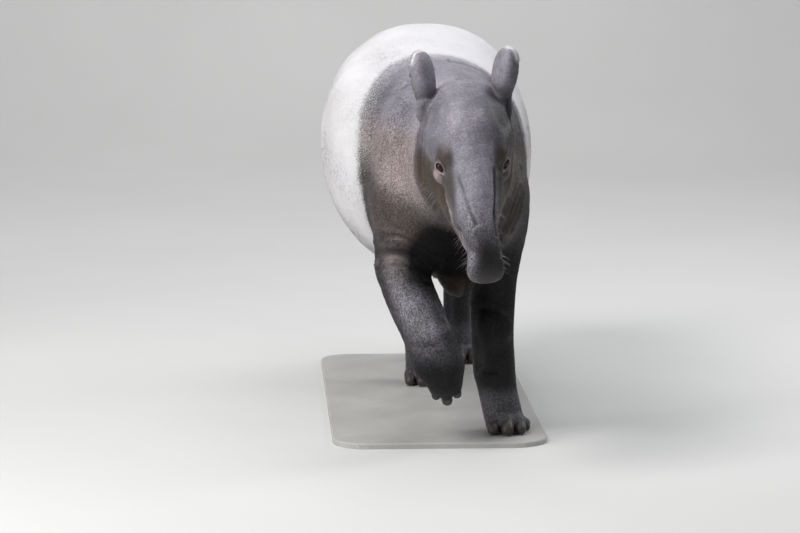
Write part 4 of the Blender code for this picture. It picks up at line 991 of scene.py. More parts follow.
def coat_material(name, hairy):
    mat, t, bsdf = nodes_of(name)
    k = Build(t)
    obj = k.node("ShaderNodeTexCoord").outputs["Object"]
    tone, glint, along = k.attr("tone"), k.attr("glint"), k.attr("along")
    white, grey_and_sheen, rose, brown, pale, wet, grizzle_and_glint, painted_shade = (k.attr(m) for m in MASKS)
    patch = k.noise(obj, 9.0, 4.0)
    fleck = k.noise(obj, 300.0, 2.0, 0.7)
    grain = k.noise(obj, 1100.0, 2.0, 0.6)
    dark = k.mix(k.range(patch, 0.35, 0.65), rgb(*BLACK_A), rgb(*BLACK_B))
    # painted shade: the black goes darker still where shade is painted
    dark = k.mix(k.math("MULTIPLY", painted_shade, 0.8), dark, rgb(0.0016, 0.0014, 0.0014))
    # painted sheen of sky light on the black: its amount speckled per tuft, mottled and clouded, tinted between bluish
    # grey and rose
    spread = k.math("MULTIPLY", grizzle_and_glint, k.range(tone if hairy else fleck, 0.05 if hairy else 0.36, 0.95 if hairy else 0.64, -0.85, 0.75))
    mottle = k.math("MULTIPLY", k.math("ADD", 0.25, grizzle_and_glint, True), k.range(k.noise(obj, 190.0, 3.0, 0.65), 0.36, 0.64, -0.62, 0.55))
    cloud = k.range(k.noise(obj, 42.0, 3.0, 0.6), 0.32, 0.68, 0.84, 1.10)
    amount = k.math("MULTIPLY", grey_and_sheen, k.math("ADD", 1.0, spread), True)
    amount = k.math("MULTIPLY", amount, k.math("MULTIPLY", cloud, k.math("ADD", 1.0, mottle)), True)
    sheen_tint = k.mix(rose, rgb(*SHEEN_GREY), rgb(*SHEEN_ROSE))
    dark = k.mix(k.math("MULTIPLY", amount, k.range(patch, 0.30, 0.70, 0.66, 1.12)), dark, sheen_tint)
    dark = k.mix(k.math("MULTIPLY", brown, k.range(k.noise(obj, 30.0), 0.3, 0.7, 0.72, 1.0)), dark, rgb(*BROWN))
    # pale hair tips with painted glints of light on them, speckling the black
    speck = k.math("MULTIPLY", grizzle_and_glint, k.range(fleck, 0.62, 0.74), True) if not hairy else k.math("MULTIPLY", grizzle_and_glint, glint, True)
    dark = k.mix(k.math("MULTIPLY", speck, k.math("MULTIPLY", k.range(grey_and_sheen, 0.0, 0.3, 0.10, 0.34), k.math("SUBTRACT", 1.0, painted_shade, True))), dark, rgb(*GLINT_SPECKLE))
    dark = k.mix(k.math("MULTIPLY", pale, k.range(k.noise(obj, 60.0), 0.25, 0.7, 0.65, 0.95)), dark, rgb(*PALE))
    dark = k.mix(k.math("MULTIPLY", wet, 0.9), dark, rgb(*WET))
    light = k.mix(k.range(k.noise(obj, 6.0, 5.0), 0.35, 0.65), rgb(*WHITE_A), rgb(*WHITE_B))
    light = k.mix(k.range(fleck, 0.62, 0.80, 0.0, 0.35), light, rgb(*WHITE_C))
    base = k.mix(white, dark, light)
    shade = k.range(tone, 0.0, 1.0, 0.84, 1.15)
    shade = k.math("MULTIPLY", shade, k.range(along, 0.0, 1.0, 0.90, 1.04))
    shade = k.math("MULTIPLY", shade, k.range(grain, 0.3, 0.7, 0.88, 1.10))
    calm = k.math("SUBTRACT", 1.0, k.math("MULTIPLY", white, 0.70))
    shade = k.math("ADD", 1.0, k.math("MULTIPLY", k.math("SUBTRACT", shade, 1.0), calm))
    whole = k.node("ShaderNodeCombineColor")
    for i in range(3):
        k.put(whole.inputs[i], shade)
    colour = k.mix(1.0, base, whole.outputs[0], "MULTIPLY")
    k.put(bsdf.inputs["Base Color"], colour)
    rough = k.range(k.noise(obj, 120.0), 0.3, 0.7, 0.38, 0.50)
    rough = k.math("ADD", rough, k.math("MULTIPLY", white, 0.16))
    rough = k.math("SUBTRACT", rough, k.math("MULTIPLY", wet, 0.32), True)
    k.put(bsdf.inputs["Roughness"], rough)
    k.put(bsdf.inputs["Specular IOR Level"], k.range(painted_shade, 0.0, 0.9, 0.33, 0.05))
    bsdf.inputs["Sheen Weight"].default_value = 0.07
    bsdf.inputs["Sheen Roughness"].default_value = 0.45
    bsdf.inputs["Sheen Tint"].default_value = (0.86, 0.86, 1.0, 1)
    if not hairy:
        bsdf.inputs["Subsurface Weight"].default_value = 0.04
        bsdf.inputs["Subsurface Radius"].default_value = (0.004, 0.002, 0.001)
    # hair lying along the body: fine ridges, and the pores between them
    height = k.math("ADD", k.math("MULTIPLY", fleck, 0.6), k.math("MULTIPLY", grain, 0.5))
    pebble = k.node("ShaderNodeTexVoronoi", feature="DISTANCE_TO_EDGE")
    k.put(pebble.inputs["Vector"], obj)
    pebble.inputs["Scale"].default_value = 420.0
    height = k.math("ADD", height, k.math("MULTIPLY", k.range(pebble.outputs["Distance"], 0.0, 0.12), 0.06))
    bump = k.node("ShaderNodeBump")
    bump.inputs["Strength"].default_value = 0.25 if hairy else 0.42
    bump.inputs["Distance"].default_value = 0.0016
    k.put(bump.inputs["Height"], height)
    k.put(bsdf.inputs["Normal"], bump.outputs["Normal"])
    return mat


BLACK_A, BLACK_B, SHEEN_GREY, SHEEN_ROSE = (0.0048, 0.0043, 0.0044), (0.0095, 0.0086, 0.0090), (0.355, 0.335, 0.392), (0.450, 0.372, 0.360)
BROWN, GLINT_SPECKLE, PALE, WET = (0.052, 0.032, 0.018), (0.42, 0.375, 0.375), (0.46, 0.365, 0.385), (0.030, 0.009, 0.009)
WHITE_A, WHITE_B, WHITE_C = (0.66, 0.645, 0.66), (0.73, 0.72, 0.74), (0.56, 0.54, 0.55)
SKIN_MAT = coat_material("skin_under_coat", False)
COAT_MAT = coat_material("short_coat", True)
skin_mesh.materials.clear()
skin = add_object("tapir_skin", skin_mesh, [SKIN_MAT])
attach(skin, "root")
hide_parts(*FLESH)

# ------------------------------------------------------------------ the coat
RNG = np.random.default_rng(20611)
corners = verts[tri]
cross = np.cross(corners[:, 1] - corners[:, 0], corners[:, 2] - corners[:, 0])
areas = np.linalg.norm(cross, axis=1) / 2
mids = corners.mean(1)
mid_q = (mids - POLL) @ HEAD.T


on_ear = ear_up(mids) > 0.012
is_head = (((mid_q[:, 0] > 0.0) | (mids[:, 1] < -0.40)) & (mids[:, 1] < -0.33)) | on_ear
limb = (mids[:, 2] < np.interp(mids[:, 1], [-0.3, 0.3, 0.5, 0.8, 1.1], [0.47, 0.43, 0.40, 0.50, 0.56])) & ((np.abs(mids[:, 0] + 0.02) > 0.035) | (mids[:, 2] < 0.37))
belly = (mids[:, 1] > 0.14) & (mids[:, 1] < 0.62) & (mids[:, 2] > 0.345)
limb = limb & ~belly & ~is_head
fore = mids[:, 1] < 0.36
body = ~is_head & ~limb
REGIONS = {
    "coat_head": (is_head, 99000),
    "coat_fore_legs": (limb & fore, 92000),
    "coat_hind_legs": (limb & ~fore, 92000),
    "coat_neck": (body & (mids[:, 1] < -0.03), 98000),
    "coat_shoulders": (body & (mids[:, 1] >= -0.03) & (mids[:, 1] < 0.20), 92000),
    "coat_trunk_left": (body & (mids[:, 1] >= 0.20) & (mids[:, 0] > -0.02), 99000),
    "coat_trunk_right": (body & (mids[:, 1] >= 0.20) & (mids[:, 0] <= -0.02), 99000),
}


def lie(p, nrm):
    """The way the hair lies, along the skin."""
    q = (p - POLL) @ HEAD.T
    u, w, v = q.T
    x, b, z = p.T
    head = smoothstep(-0.04, 0.05, u) * (b < -0.28)
    legs = smoothstep(0.62, 0.42, z) * (1 - head)
    back = np.stack([0.12 * np.sign(x) * np.ones(len(p)), np.ones(len(p)), -0.35 - 0.3 * smoothstep(0.95, 0.6, z)], 1)
    down = np.stack([0.05 * np.sign(x), 0.25 * np.ones(len(p)), -1.2 * np.ones(len(p))], 1)
    up_face = -HEAD[0] + 0.25 * np.sign(w)[:, None] * HEAD[1] * smoothstep(0.02, 0.08, np.abs(w))[:, None] - 0.45 * smoothstep(-0.08, -0.2, v)[:, None] * HEAD[2]
    f = up_face * head[:, None] + (1 - head)[:, None] * (back * (1 - legs)[:, None] + down * legs[:, None])
    up = ear_up(p)
    f = np.where((up > 0.0)[:, None], np.array([0.0, 0.15, 1.0]), f)
    swirl = 0.16 * np.sin(x * 23 + z * 31) + 0.16 * np.sin(b * 19 - z * 27 + 1.7)
    f = f + np.cross(nrm, f) * swirl[:, None]
    f = f - nrm * (f * nrm).sum(1)[:, None]
    return f / (np.linalg.norm(f, axis=1)[:, None] + 1e-9)


def unwrap(name, p):
    """Cylindrical unwrap of the skin under each region, into the unit square."""
    x, b, z = p.T
    if name == "coat_head":
        q = (p - POLL) @ HEAD.T
        a = np.arctan2(q[:, 1], q[:, 2] + 0.11)
        t = (q[:, 0] + 0.14) / 0.66
    elif "legs" in name:
        cx = np.where(x > 0.03, 0.12, -0.08)
        cb = np.where(b > 0.36, np.interp(z, [0, 0.3, 0.6], [0.9, 0.95, 0.9]), np.where(x > 0.03, 0.0, -0.12))
        a = np.arctan2(x - cx, b - cb)
        t = (z + 0.02) / 0.62
        half = (a / (2 * np.pi) + 0.5) * 0.46 + np.where(x > 0.03, 0.52, 0.02)
        return np.stack([half, 0.02 + 0.95 * np.clip(t, 0, 1)], 1)
    else:
        a = np.arctan2(x, z - 0.70)
        t = (b + 0.45) / 1.66
    return np.stack([0.02 + 0.955 * (a / (2 * np.pi) + 0.5), 0.02 + 0.955 * np.clip(t, 0, 1)], 1)


def bare(p):
    """True where no hair grows: eyes, lips' slit, nostrils and soles."""
    q = ((p - POLL) @ HEAD.T)
    qm = np.stack([q[:, 0], np.abs(q[:, 1]), q[:, 2]], 1).astype(F)
    n_, s_, k_, rel = eye_frame(qm)
    d = np.sqrt((rel**2).sum(1))
    sl = np.where(s_ > 0, s_ / SLIT[0], s_ / SLIT[1])
    kl = np.where(k_ > 0, k_ / SLIT[2], k_ / SLIT[3])
    gate = (((np.abs(sl) + 1e-4) ** np.where(s_ > 0, 1.55, 2.0) + (np.abs(kl) + 1e-4) ** 1.9) ** 0.5 - 1) * 0.0105
    out = (d < 0.040) & (gate < 0.0036) & (n_ > 0)
    out |= (np.abs(q[:, 2] - mouth_line(q[:, 0])) < 0.0040) & (q[:, 0] > 0.284) & (q[:, 0] < 0.41) & (p[:, 1] < -0.3)
    out |= (q[:, 0] > 0.484) & (q[:, 2] < -0.206) & (p[:, 1] < -0.3)
    out |= p[:, 2] < 0.003
    return out


def hoof_sites():
    for foot in FEET:
        axes, centre, digits = foot_frame(foot)
        for k, (dx, reach, r) in enumerate(digits):
            yield foot, k, axes, centre + np.array([dx, reach - r * 0.72, r * 0.955]) @ axes, r


def grow(name, roots, nrm, rng, size, width, lift, extra=None, material=None, fringe=0.0):
    """Flat tufts: a kite from root to tip. size and width are arrays in metres."""
    m = len(roots)
    f = lie(roots, nrm)
    if extra is not None:
        f = extra
    turn = rng.normal(0, 0.17, m)
    side = np.cross(nrm, f)
    f2 = f * np.cos(turn)[:, None] + side * np.sin(turn)[:, None]
    side = np.cross(nrm, f2)
    L = size * rng.uniform(0.72, 1.22, m)
    W = width * rng.uniform(0.75, 1.25, m)
    rise = np.tan(np.clip(lift * rng.uniform(0.4, 1.5, m), 0.02, 1.3))
    stray = rng.random(m) < 0.012
    rise = np.where(stray, rise * 2.1, rise)
    roll = rng.normal(0, 0.16, m)
    base = roots - nrm * 0.0007
    waist = roots + f2 * (L * 0.42)[:, None] + nrm * (L * 0.42 * rise * 1.15 + 0.0002)[:, None]
    half = (W / 2)[:, None]
    left = waist + (side * np.cos(roll)[:, None] + nrm * np.sin(roll)[:, None]) * half
    right_ = waist - (side * np.cos(roll)[:, None] + nrm * np.sin(roll)[:, None]) * half
    tip = roots + f2 * L[:, None] + nrm * (L * rise * 0.85 + 0.0002)[:, None]
    pts = np.stack([base, right_, tip, left], 1).reshape(-1, 3)
    mesh = mesh_from(name, pts + SHIFT, np.arange(4 * m).reshape(m, 4))
    for poly_smooth in ("sharp_face",):
        if poly_smooth not in mesh.attributes:
            mesh.attributes.new(poly_smooth, "BOOLEAN", "FACE")
        mesh.attributes[poly_smooth].data.foreach_set("value", np.zeros(m, bool))
    jitter = rng.normal(0, 0.013, m)
    mk = marks(roots, jitter)
    mk["white"] = smoothstep(0.12, 0.88, mk["white"])
    mk["white"] = np.where(rng.random(m) < mk["band"] * 0.8, np.maximum(mk["white"], 0.62), mk["white"])
    for key in MASKS:
        store(mesh, key, np.repeat(mk[key], 4))
    store(mesh, "tone", np.repeat(rng.random(m), 4))
    # pale hair tips with a painted glint: a few tufts, in loose clumps
    lit = rng.random(m)
    clump = 0.5 + 0.5 * np.sin(roots[:, 0] * 210 + 3 * np.sin(roots[:, 2] * 90)) * np.sin(roots[:, 1] * 190 + roots[:, 2] * 170)
    glint = smoothstep(0.80, 0.98, lit + 0.10 * (clump - 0.5))
    store(mesh, "glint", np.repeat(glint, 4))
    store(mesh, "along", np.tile(np.array([0.0, 0.5, 1.0, 0.5], F), m))
    uv = unwrap(name, roots)
    patch = np.array([(0, -0.0015), (0.0015, 0), (0, 0.0015), (-0.0015, 0)])
    layer = mesh.uv_layers.new(name="OFBake")
    layer.data.foreach_set("uv", np.clip(uv[:, None, :] + patch[None], 0, 1).astype(F).ravel())
    obj = add_object(name, mesh, [material or COAT_MAT])
    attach(obj, "root")
    return obj


def scatter(mask, count, weight=None):
    """Even random points on part of the skin, with the skin's own normals."""
    ids = np.nonzero(mask)[0]
    a = areas[ids] * (weight[ids] if weight is not None else 1.0)
    pick = ids[np.searchsorted(np.cumsum(a) / a.sum(), np.sort(RNG.random(count)))]
    r1, r2 = np.sqrt(RNG.random(count)), RNG.random(count)
    bary = np.stack([1 - r1, r1 * (1 - r2), r1 * r2], 1)
    p = (corners[pick] * bary[:, :, None]).sum(1)
    nn = (normals[tri[pick]] * bary[:, :, None]).sum(1)
    nn /= np.linalg.norm(nn, axis=1)[:, None] + 1e-9
    keep = ~bare(p)
    return p[keep], nn[keep]


nails = [(c, r) for _, _, _, c, r in hoof_sites()]
for name, (mask, count) in REGIONS.items():
    dens = 1.0 + 1.6 * np.exp(-(np.linalg.norm(mids - from_head(EYE), axis=1) / 0.05) ** 2) if name == "coat_head" else np.ones(len(mids))
    p, nn = scatter(mask, count, dens)
    keep = np.ones(len(p), bool)
    for c, r in nails:
        keep &= np.linalg.norm(p - c, axis=1) > r * 0.98
    p, nn = p[keep], nn[keep]
    x, b, z = p.T
    q = (p - POLL) @ HEAD.T
    if name == "coat_head":
        size = 0.0036 + 0.0016 * smoothstep(0.30, 0.05, q[:, 0])
        size = np.where(ear_up(p) > 0.01, 0.0036, size)
        e = np.minimum(np.linalg.norm(q - EYE_E, axis=1), np.linalg.norm(q - EYE_E * np.array([1, -1, 1]), axis=1))
        size = size * (0.45 + 0.55 * smoothstep(0.022, 0.055, e))
        width = size * 0.18
        lift = np.full(len(p), 0.045)
    elif "legs" in name:
        size = 0.0052 + 0.0032 * smoothstep(0.08, 0.40, z)
        width = size * 0.15
        lift = np.full(len(p), 0.055)
    elif name in ("coat_neck", "coat_shoulders"):
        size = 0.0068 + 0.0026 * smoothstep(-0.35, 0.1, b)
        width = size * 0.16
        lift = np.full(len(p), 0.050)
    else:
        size = np.full(len(p), 0.0110)
        width = size * 0.15
        lift = np.full(len(p), 0.028)
    grow(name, p, nn, RNG, size, width, lift)
say("coat grown")

# longer hair: the white fringe of the ears, the brown keel of the brisket, bristles of the lips
p, nn = scatter(on_ear, 60000)
fringe_p, fringe_n, fringe_f = [], [], []
for sign in (1, -1):
    base, axes = ear_frame(sign)
    e = (p - base) @ axes.T
    rim = np.abs(egg(e.astype(F), (0.0135, 0.0, 0.068), EAR_IN)) + np.abs(egg(e.astype(F), (-0.002, 0.0, 0.064), EAR_OUT))
    m = (np.abs(e[:, 0]) < 0.05) & (rim < 0.0050) & (e[:, 2] > 0.098)
    out = e[m] * np.array([0.0, 1.0, 1.0]) - np.array([0, 0, 0.07])
    out[:, 0] = 0.015
    out = (out / np.linalg.norm(out, axis=1)[:, None]) @ axes
    fringe_p.append(p[m])
    fringe_n.append(nn[m])
    fringe_f.append(out)
fp, fn, ff = np.vstack(fringe_p), np.vstack(fringe_n), np.vstack(fringe_f)
m = len(fp)
grow("coat_ear_fringe", fp, fn, RNG, np.full(m, 0.0055), np.full(m, 0.0007), np.full(m, 0.05), extra=ff)
keel = (np.abs(mids[:, 0] - 0.014) < 0.055) & (mids[:, 1] > -0.20) & (mids[:, 1] < 0.06) & (mids[:, 2] < 0.53) & (mids[:, 2] > 0.36)
p, nn = scatter(keel, 9000)
f = lie(p, nn) * 0.6 + np.array([0, 0.25, -1.0])
f = f - nn * (f * nn).sum(1)[:, None] * 0.75
f /= np.linalg.norm(f, axis=1)[:, None]
grow("coat_brisket", p, nn, RNG, np.full(len(p), 0.018), np.full(len(p), 0.0014), np.full(len(p), 0.14), extra=f)


def bristles(name, count):
    """Thin curved bristles on the lips, the chin and the sides of the nose."""
    rng = np.random.default_rng(77)
    q_all = mid_q
    near = is_head & ~on_ear & (((np.abs(q_all[:, 2] - mouth_line(q_all[:, 0])) < 0.026) & (q_all[:, 0] > 0.30) & (q_all[:, 0] < 0.42))
                                | ((q_all[:, 0] > 0.40) & (q_all[:, 0] < 0.49) & (np.abs(q_all[:, 1] - 0.01) > 0.030))
                                | ((np.abs(q_all[:, 0] - 0.17) < 0.05) & (q_all[:, 2] < -0.2)))
    p, nn = scatter(near, count)
    m = len(p)
    q = (p - POLL) @ HEAD.T
    away = nn * 0.9 - HEAD[0] * 0.25 + np.array([0, -0.1, -0.45]) + rng.normal(0, 0.22, (m, 3))
    away /= np.linalg.norm(away, axis=1)[:, None]
    L = rng.uniform(0.010, 0.034, m)
    side = np.cross(away, rng.normal(0, 1, (m, 3)))
    side /= np.linalg.norm(side, axis=1)[:, None]
    steps = 5
    rings = []
    for i in range(steps):
        t = i / (steps - 1)
        c = p + away * (L * t)[:, None] + np.array([0, 0.1, -0.35]) * (L * t * t)[:, None]
        half = 0.00030 * (1 - t) + 0.00005
        up = np.cross(side, away)
        for a in (0, 2.0944, 4.18879):
            rings.append(c + (side * math.cos(a) + up * math.sin(a)) * half)
    pts = np.stack(rings, 1)
    faces = []
    for i in range(steps - 1):
        for a in range(3):
            faces.append((3 * i + a, 3 * i + (a + 1) % 3, 3 * (i + 1) + (a + 1) % 3, 3 * (i + 1) + a))
    faces = np.array(faces)
    allf = (faces[None] + (np.arange(m) * 3 * steps)[:, None, None]).reshape(-1, 4)
    mesh = mesh_from(name, pts.reshape(-1, 3) + SHIFT, allf)
    store(mesh, "shade", np.repeat(rng.random(m), 3 * steps))
    uv = unwrap("coat_head", p)
    layer = mesh.uv_layers.new(name="OFBake")
    per = len(faces) * 4
    spot = np.tile(np.array([(0, 0), (0.0015, 0), (0.0015, 0.0015), (0, 0.0015)]), (len(faces), 1))
    layer.data.foreach_set("uv", np.clip(np.repeat(uv, per, axis=0) + np.tile(spot, (m, 1)), 0, 1).astype(F).ravel())
    mat, t, bsdf = nodes_of("bristle")
    k = Build(t)
    obj_co = k.node("ShaderNodeTexCoord").outputs["Object"]
    k.put(bsdf.inputs["Base Color"], k.mix(k.math("MULTIPLY", k.attr("shade"), k.noise(obj_co, 200.0)), rgb(0.10, 0.08, 0.07), rgb(0.72, 0.69, 0.66)))
    k.put(bsdf.inputs["Roughness"], k.range(k.noise(obj_co, 300.0), 0.3, 0.7, 0.3, 0.5))
    obj = add_object(name, mesh, [mat])
    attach(obj, "root")


bristles("bristles", 230)


# ------------------------------------------------------------------ eyes
def eye_material():
    mat, t, bsdf = nodes_of("wet_eye")
    k = Build(t)
    ang = k.attr("angle")
    obj = k.node("ShaderNodeTexCoord").outputs["Object"]
    streak = k.noise(obj, 420.0, 4.0)
    iris = k.mix(k.range(streak, 0.3, 0.7), rgb(0.016, 0.005, 0.005), rgb(0.062, 0.019, 0.015))
    iris = k.mix(k.range(ang, 0.50, 0.66), iris, rgb(0.012, 0.006, 0.006))
    pupil = k.range(ang, 0.26, 0.32, 1.0, 0.0)
    colour = k.mix(pupil, iris, rgb(0.004, 0.004, 0.006))
    white = k.mix(k.range(k.noise(obj, 160.0), 0.3, 0.7), rgb(0.060, 0.026, 0.022), rgb(0.12, 0.06, 0.052))
    colour = k.mix(k.range(ang, 0.80, 0.95), colour, white)
    k.put(bsdf.inputs["Base Color"], colour)
    k.put(bsdf.inputs["Roughness"], k.range(k.noise(obj, 90.0), 0.3, 0.7, 0.30, 0.45))
    bsdf.inputs["Specular IOR Level"].default_value = 0.0
    bsdf.inputs["Coat Weight"].default_value = 1.0
    bsdf.inputs["Coat Roughness"].default_value = 0.02
    bsdf.inputs["Coat IOR"].default_value = 1.34
    bump = k.node("ShaderNodeBump")
    bump.inputs["Strength"].default_value = 0.15
    bump.inputs["Distance"].default_value = 0.0004
    k.put(bump.inputs["Height"], streak)
    k.put(bsdf.inputs["Normal"], bump.outputs["Normal"])
    return mat


EYE_MAT = eye_material()
for side_name, sign in (("left", 1), ("right", -1)):
    bm = bmesh.new()
    bmesh.ops.create_uvsphere(bm, u_segments=64, v_segments=48, radius=1.0)
    angle = []
    for vtx in bm.verts:
        a = math.acos(max(-1, min(1, vtx.co.z)))
        angle.append(a)
        bulge = 0.0016 * max(0.0, 1 - (a / 0.66) ** 2)
        vtx.co *= EYE_RADIUS + bulge
    mesh = bpy.data.meshes.new("eyeball_" + side_name)
    bm.to_mesh(mesh)
    bm.free()
    store(mesh, "angle", angle)
    mesh.shade_smooth()
    flip = np.array([1, sign, 1])
    zax = unit((EYE_Y * flip) @ HEAD)
    xax = unit((EYE_Z * flip) @ HEAD)
    yax = np.cross(zax, xax)
    m4 = Matrix((xax, yax, zax)).transposed().to_4x4()
    m4.translation = Vector(from_head(EYE_E * flip) + SHIFT)
    mesh.transform(m4)
    obj = add_object("eyeball_" + side_name, mesh, [EYE_MAT])
    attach(obj, "root")
    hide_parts("eye_" + side_name)


# ------------------------------------------------------------------ hooves
def hoof_material():
    mat, t, bsdf = nodes_of("horn")
    k = Build(t)
    obj = k.node("ShaderNodeTexCoord").outputs["Object"]
    edge, ring = k.attr("edge"), k.attr("ring")
    stretch = k.node("ShaderNodeMapping")
    k.put(stretch.inputs["Vector"], obj)
    stretch.inputs["Scale"].default_value = (1.0, 1.0, 0.18)
    grain = k.noise(stretch.outputs[0], 520.0, 3.0)
    colour = k.mix(k.range(grain, 0.3, 0.7), rgb(0.018, 0.015, 0.014), rgb(0.052, 0.041, 0.034))
    colour = k.mix(k.math("MULTIPLY", edge, k.range(k.noise(obj, 90.0), 0.3, 0.7, 0.4, 0.9)), colour, rgb(0.30, 0.24, 0.18))
    k.put(bsdf.inputs["Base Color"], colour)
    k.put(bsdf.inputs["Roughness"], k.range(k.noise(obj, 160.0), 0.3, 0.7, 0.32, 0.58))
    wave = k.math("SINE", k.math("MULTIPLY", ring, 70.0))
    bump = k.node("ShaderNodeBump")
    bump.inputs["Strength"].default_value = 0.4
    bump.inputs["Distance"].default_value = 0.0006
    k.put(bump.inputs["Height"], k.math("ADD", k.math("MULTIPLY", wave, 0.3), grain))
    k.put(bsdf.inputs["Normal"], bump.outputs["Normal"])
    return mat


HORN = hoof_material()
made = {}
for foot, k_, axes, centre, r in hoof_sites():
    bm = bmesh.new()
    bmesh.ops.create_uvsphere(bm, u_segments=36, v_segments=24, radius=1.0)
    for vtx in bm.verts:
        x, y, z = vtx.co
        side = abs(x) ** 0.80 * (1 if x > 0 else -1)
        fore = abs(y) ** 0.88 * (1 if y > 0 else -1)
        vtx.co = Vector((side * r * 0.86, fore * r * 1.10, z * r * 0.96))
        rise_ = (vtx.co.z + r * 0.9) / (1.9 * r)
        vtx.co.x *= 1.0 - 0.16 * rise_
        vtx.co.y -= rise_ * rise_ * r * 0.62
        low = -r * 0.90
        if vtx.co.z < low:
            vtx.co.z = low + 0.12 * (vtx.co.z - low)
    made.setdefault(foot, []).append((bm, axes, centre, r))
for foot, items in made.items():
    vs, fs, edges_, rings_ = [], [], [], []
    count = 0
    for bm, axes, centre, r in items:
        bm.verts.ensure_lookup_table()
        local = np.array([v_.co for v_ in bm.verts])
        vs.append(local @ axes + centre)
        edges_.append(smoothstep(-0.62, -0.90, local[:, 2] / r))
        rings_.append(local[:, 2] / r)
        for f_ in bm.faces:
            fs.append([v_.index + count for v_ in f_.verts])
        count += len(bm.verts)
        bm.free()
    mesh = bpy.data.meshes.new("hooves_" + foot)
    mesh.from_pydata((np.vstack(vs) + SHIFT).tolist(), [], fs)
    store(mesh, "edge", np.concatenate(edges_))
    store(mesh, "ring", np.concatenate(rings_))
    mesh.shade_smooth()
    obj = add_object("hooves_" + foot, mesh, [HORN])
    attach(obj, "root")
    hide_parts(*["%s_hoof_%d" % (foot, i + 1) for i in range(len(items))])


# ------------------------------------------------------------------ plate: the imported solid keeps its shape
def plate_material():
    mat, t, bsdf = nodes_of("cast_stone")
    k = Build(t)
    obj = k.node("ShaderNodeTexCoord").outputs["Object"]
    cloud, grit = k.noise(obj, 5.0, 6.0, 0.6), k.noise(obj, 420.0, 2.0)
    colour = k.mix(k.range(cloud, 0.35, 0.65), rgb(0.36, 0.355, 0.345), rgb(0.44, 0.435, 0.42))
    colour = k.mix(k.range(grit, 0.62, 0.72, 0.0, 0.5), colour, rgb(0.20, 0.195, 0.19))
    k.put(bsdf.inputs["Base Color"], colour)
    k.put(bsdf.inputs["Roughness"], k.range(cloud, 0.3, 0.7, 0.55, 0.75))
    bump = k.node("ShaderNodeBump")
    bump.inputs["Strength"].default_value = 0.25
    bump.inputs["Distance"].default_value = 0.0008
    k.put(bump.inputs["Height"], grit)
    k.put(bsdf.inputs["Normal"], bump.outputs["Normal"])
    return mat


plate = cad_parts["stand_plate"]
plate.data.materials.clear()
plate.data.materials.append(plate_material())
say("pieces made")

# ------------------------------------------------------------------ stage, light, camera
# a pale floor that sweeps up into a backdrop far behind
profile = [(-9.0, 0.0), (5.0, 0.0), (6.0, 0.06), (6.9, 0.35), (7.6, 0.95), (8.0, 1.8), (8.2, 3.0), (8.25, 9.0)]
floor_mesh = bpy.data.meshes.new("floor")
floor_mesh.from_pydata([(x_, y_, z_) for y_, z_ in profile for x_ in (-11.0, 11.0)], [],
                       [(2 * i, 2 * i + 1, 2 * i + 3, 2 * i + 2) for i in range(len(profile) - 1)])
floor_mesh.shade_smooth()
fmat, ft, fb = nodes_of("floor_paint")
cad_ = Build(ft)
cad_.put(fb.inputs["Base Color"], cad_.mix(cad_.range(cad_.noise(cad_.node("ShaderNodeTexCoord").outputs["Object"], 0.7), 0.3, 0.7), rgb(0.60, 0.60, 0.59), rgb(0.63, 0.63, 0.62)))
fb.inputs["Roughness"].default_value = 0.9
fb.inputs["Specular IOR Level"].default_value = 0.1
# its underside is clear, so that it doesn't hide the animal from a camera behind it
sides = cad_.node("ShaderNodeMixShader")
ft.links.new(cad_.node("ShaderNodeNewGeometry").outputs["Backfacing"], sides.inputs[0])
ft.links.new(fb.outputs[0], sides.inputs[1])
ft.links.new(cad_.node("ShaderNodeBsdfTransparent").outputs[0], sides.inputs[2])
ft.links.new(sides.outputs[0], next(n for n in ft.nodes if n.type == "OUTPUT_MATERIAL").inputs[0])
floor = add_object("stage_floor", floor_mesh, [fmat])
bevel = floor.modifiers.new("round", "SUBSURF")
bevel.levels = bevel.render_levels = 3

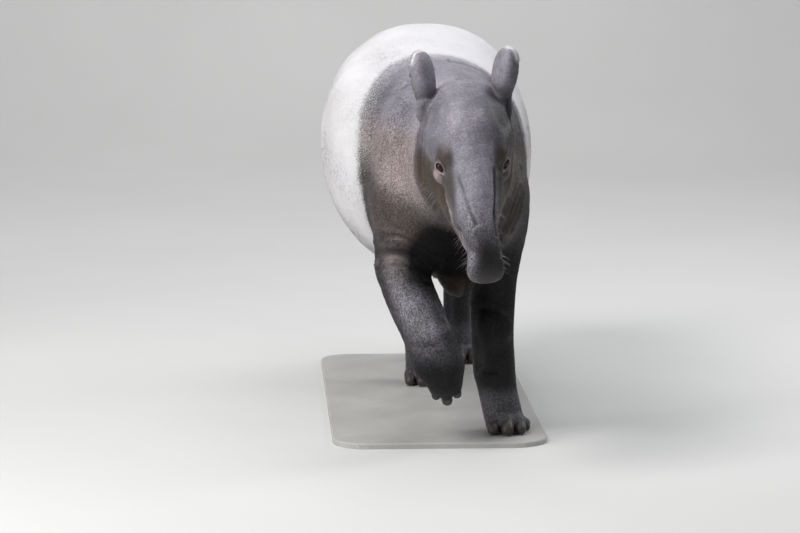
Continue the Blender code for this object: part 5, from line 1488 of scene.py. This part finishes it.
world = bpy.data.worlds.new("studio")
bpy.context.scene.world = world
world.use_nodes = True
world.node_tree.nodes["Background"].inputs[0].default_value = (0.86, 0.88, 0.92, 1)
world.node_tree.nodes["Background"].inputs[1].default_value = 0.27
bpy.context.scene.view_settings.view_transform = "Standard"
bpy.context.scene.view_settings.exposure = 0.0


def area(name, at, to, size, power, colour=(1, 1, 1)):
    light = bpy.data.lights.new(name, "AREA")
    light.shape = "RECTANGLE"
    light.size, light.size_y = size
    light.energy = power
    light.color = colour
    obj = bpy.data.objects.new(name, light)
    bpy.context.scene.collection.objects.link(obj)
    d = Vector(to) - Vector(at)
    obj.matrix_world = Matrix.Translation(at) @ d.to_track_quat("-Z", "Y").to_matrix().to_4x4()
    return obj


area("key_top", (-2.3, -2.0, 3.9), (-0.05, -0.2, 0.7), (1.8, 1.8), 165, (1.0, 0.985, 0.965))
area("side_left", (-3.1, -2.2, 1.0), (-0.05, -0.2, 0.75), (1.1, 1.1), 46, (1.0, 0.99, 0.97))
area("side_right", (2.7, -2.6, 1.6), (0.0, -0.4, 0.8), (0.5, 0.5), 7, (0.97, 0.98, 1.0))
area("sky_top", (0.3, 0.2, 4.4), (0, 0.1, 0.7), (3.2, 3.2), 60, (0.93, 0.96, 1.0))
area("rim_right", (3.0, 1.2, 2.8), (0, 0.3, 0.8), (1.6, 1.6), 48, (1.0, 1.0, 1.0))
area("backdrop", (0.0, 3.6, 5.6), (0, 7.6, 1.4), (6.0, 2.0), 190, (1.0, 1.0, 1.0))

cam_data = bpy.data.cameras.new("photo_camera")
camera = bpy.data.objects.new("photo_camera", cam_data)
bpy.context.scene.collection.objects.link(camera)
cam_data.sensor_width = 36
cam_data.lens = 2952 / 800 * 36
cam_data.clip_end = 60
pitch = math.radians(8.5)
ahead = Vector((0.0523, 0.9986, 0)).normalized()
look = ahead * math.cos(pitch) + Vector((0, 0, -math.sin(pitch)))
right = look.cross(Vector((0, 0, 1))).normalized()
m = Matrix((right, right.cross(look), -look)).transposed().to_4x4()
m.translation = Vector((-0.549 + SHIFT[0], -7.882 + SHIFT[1], 1.632 + SHIFT[2]))
camera.matrix_world = m
bpy.context.scene.camera = camera

say("done")
lo, hi = cad_box
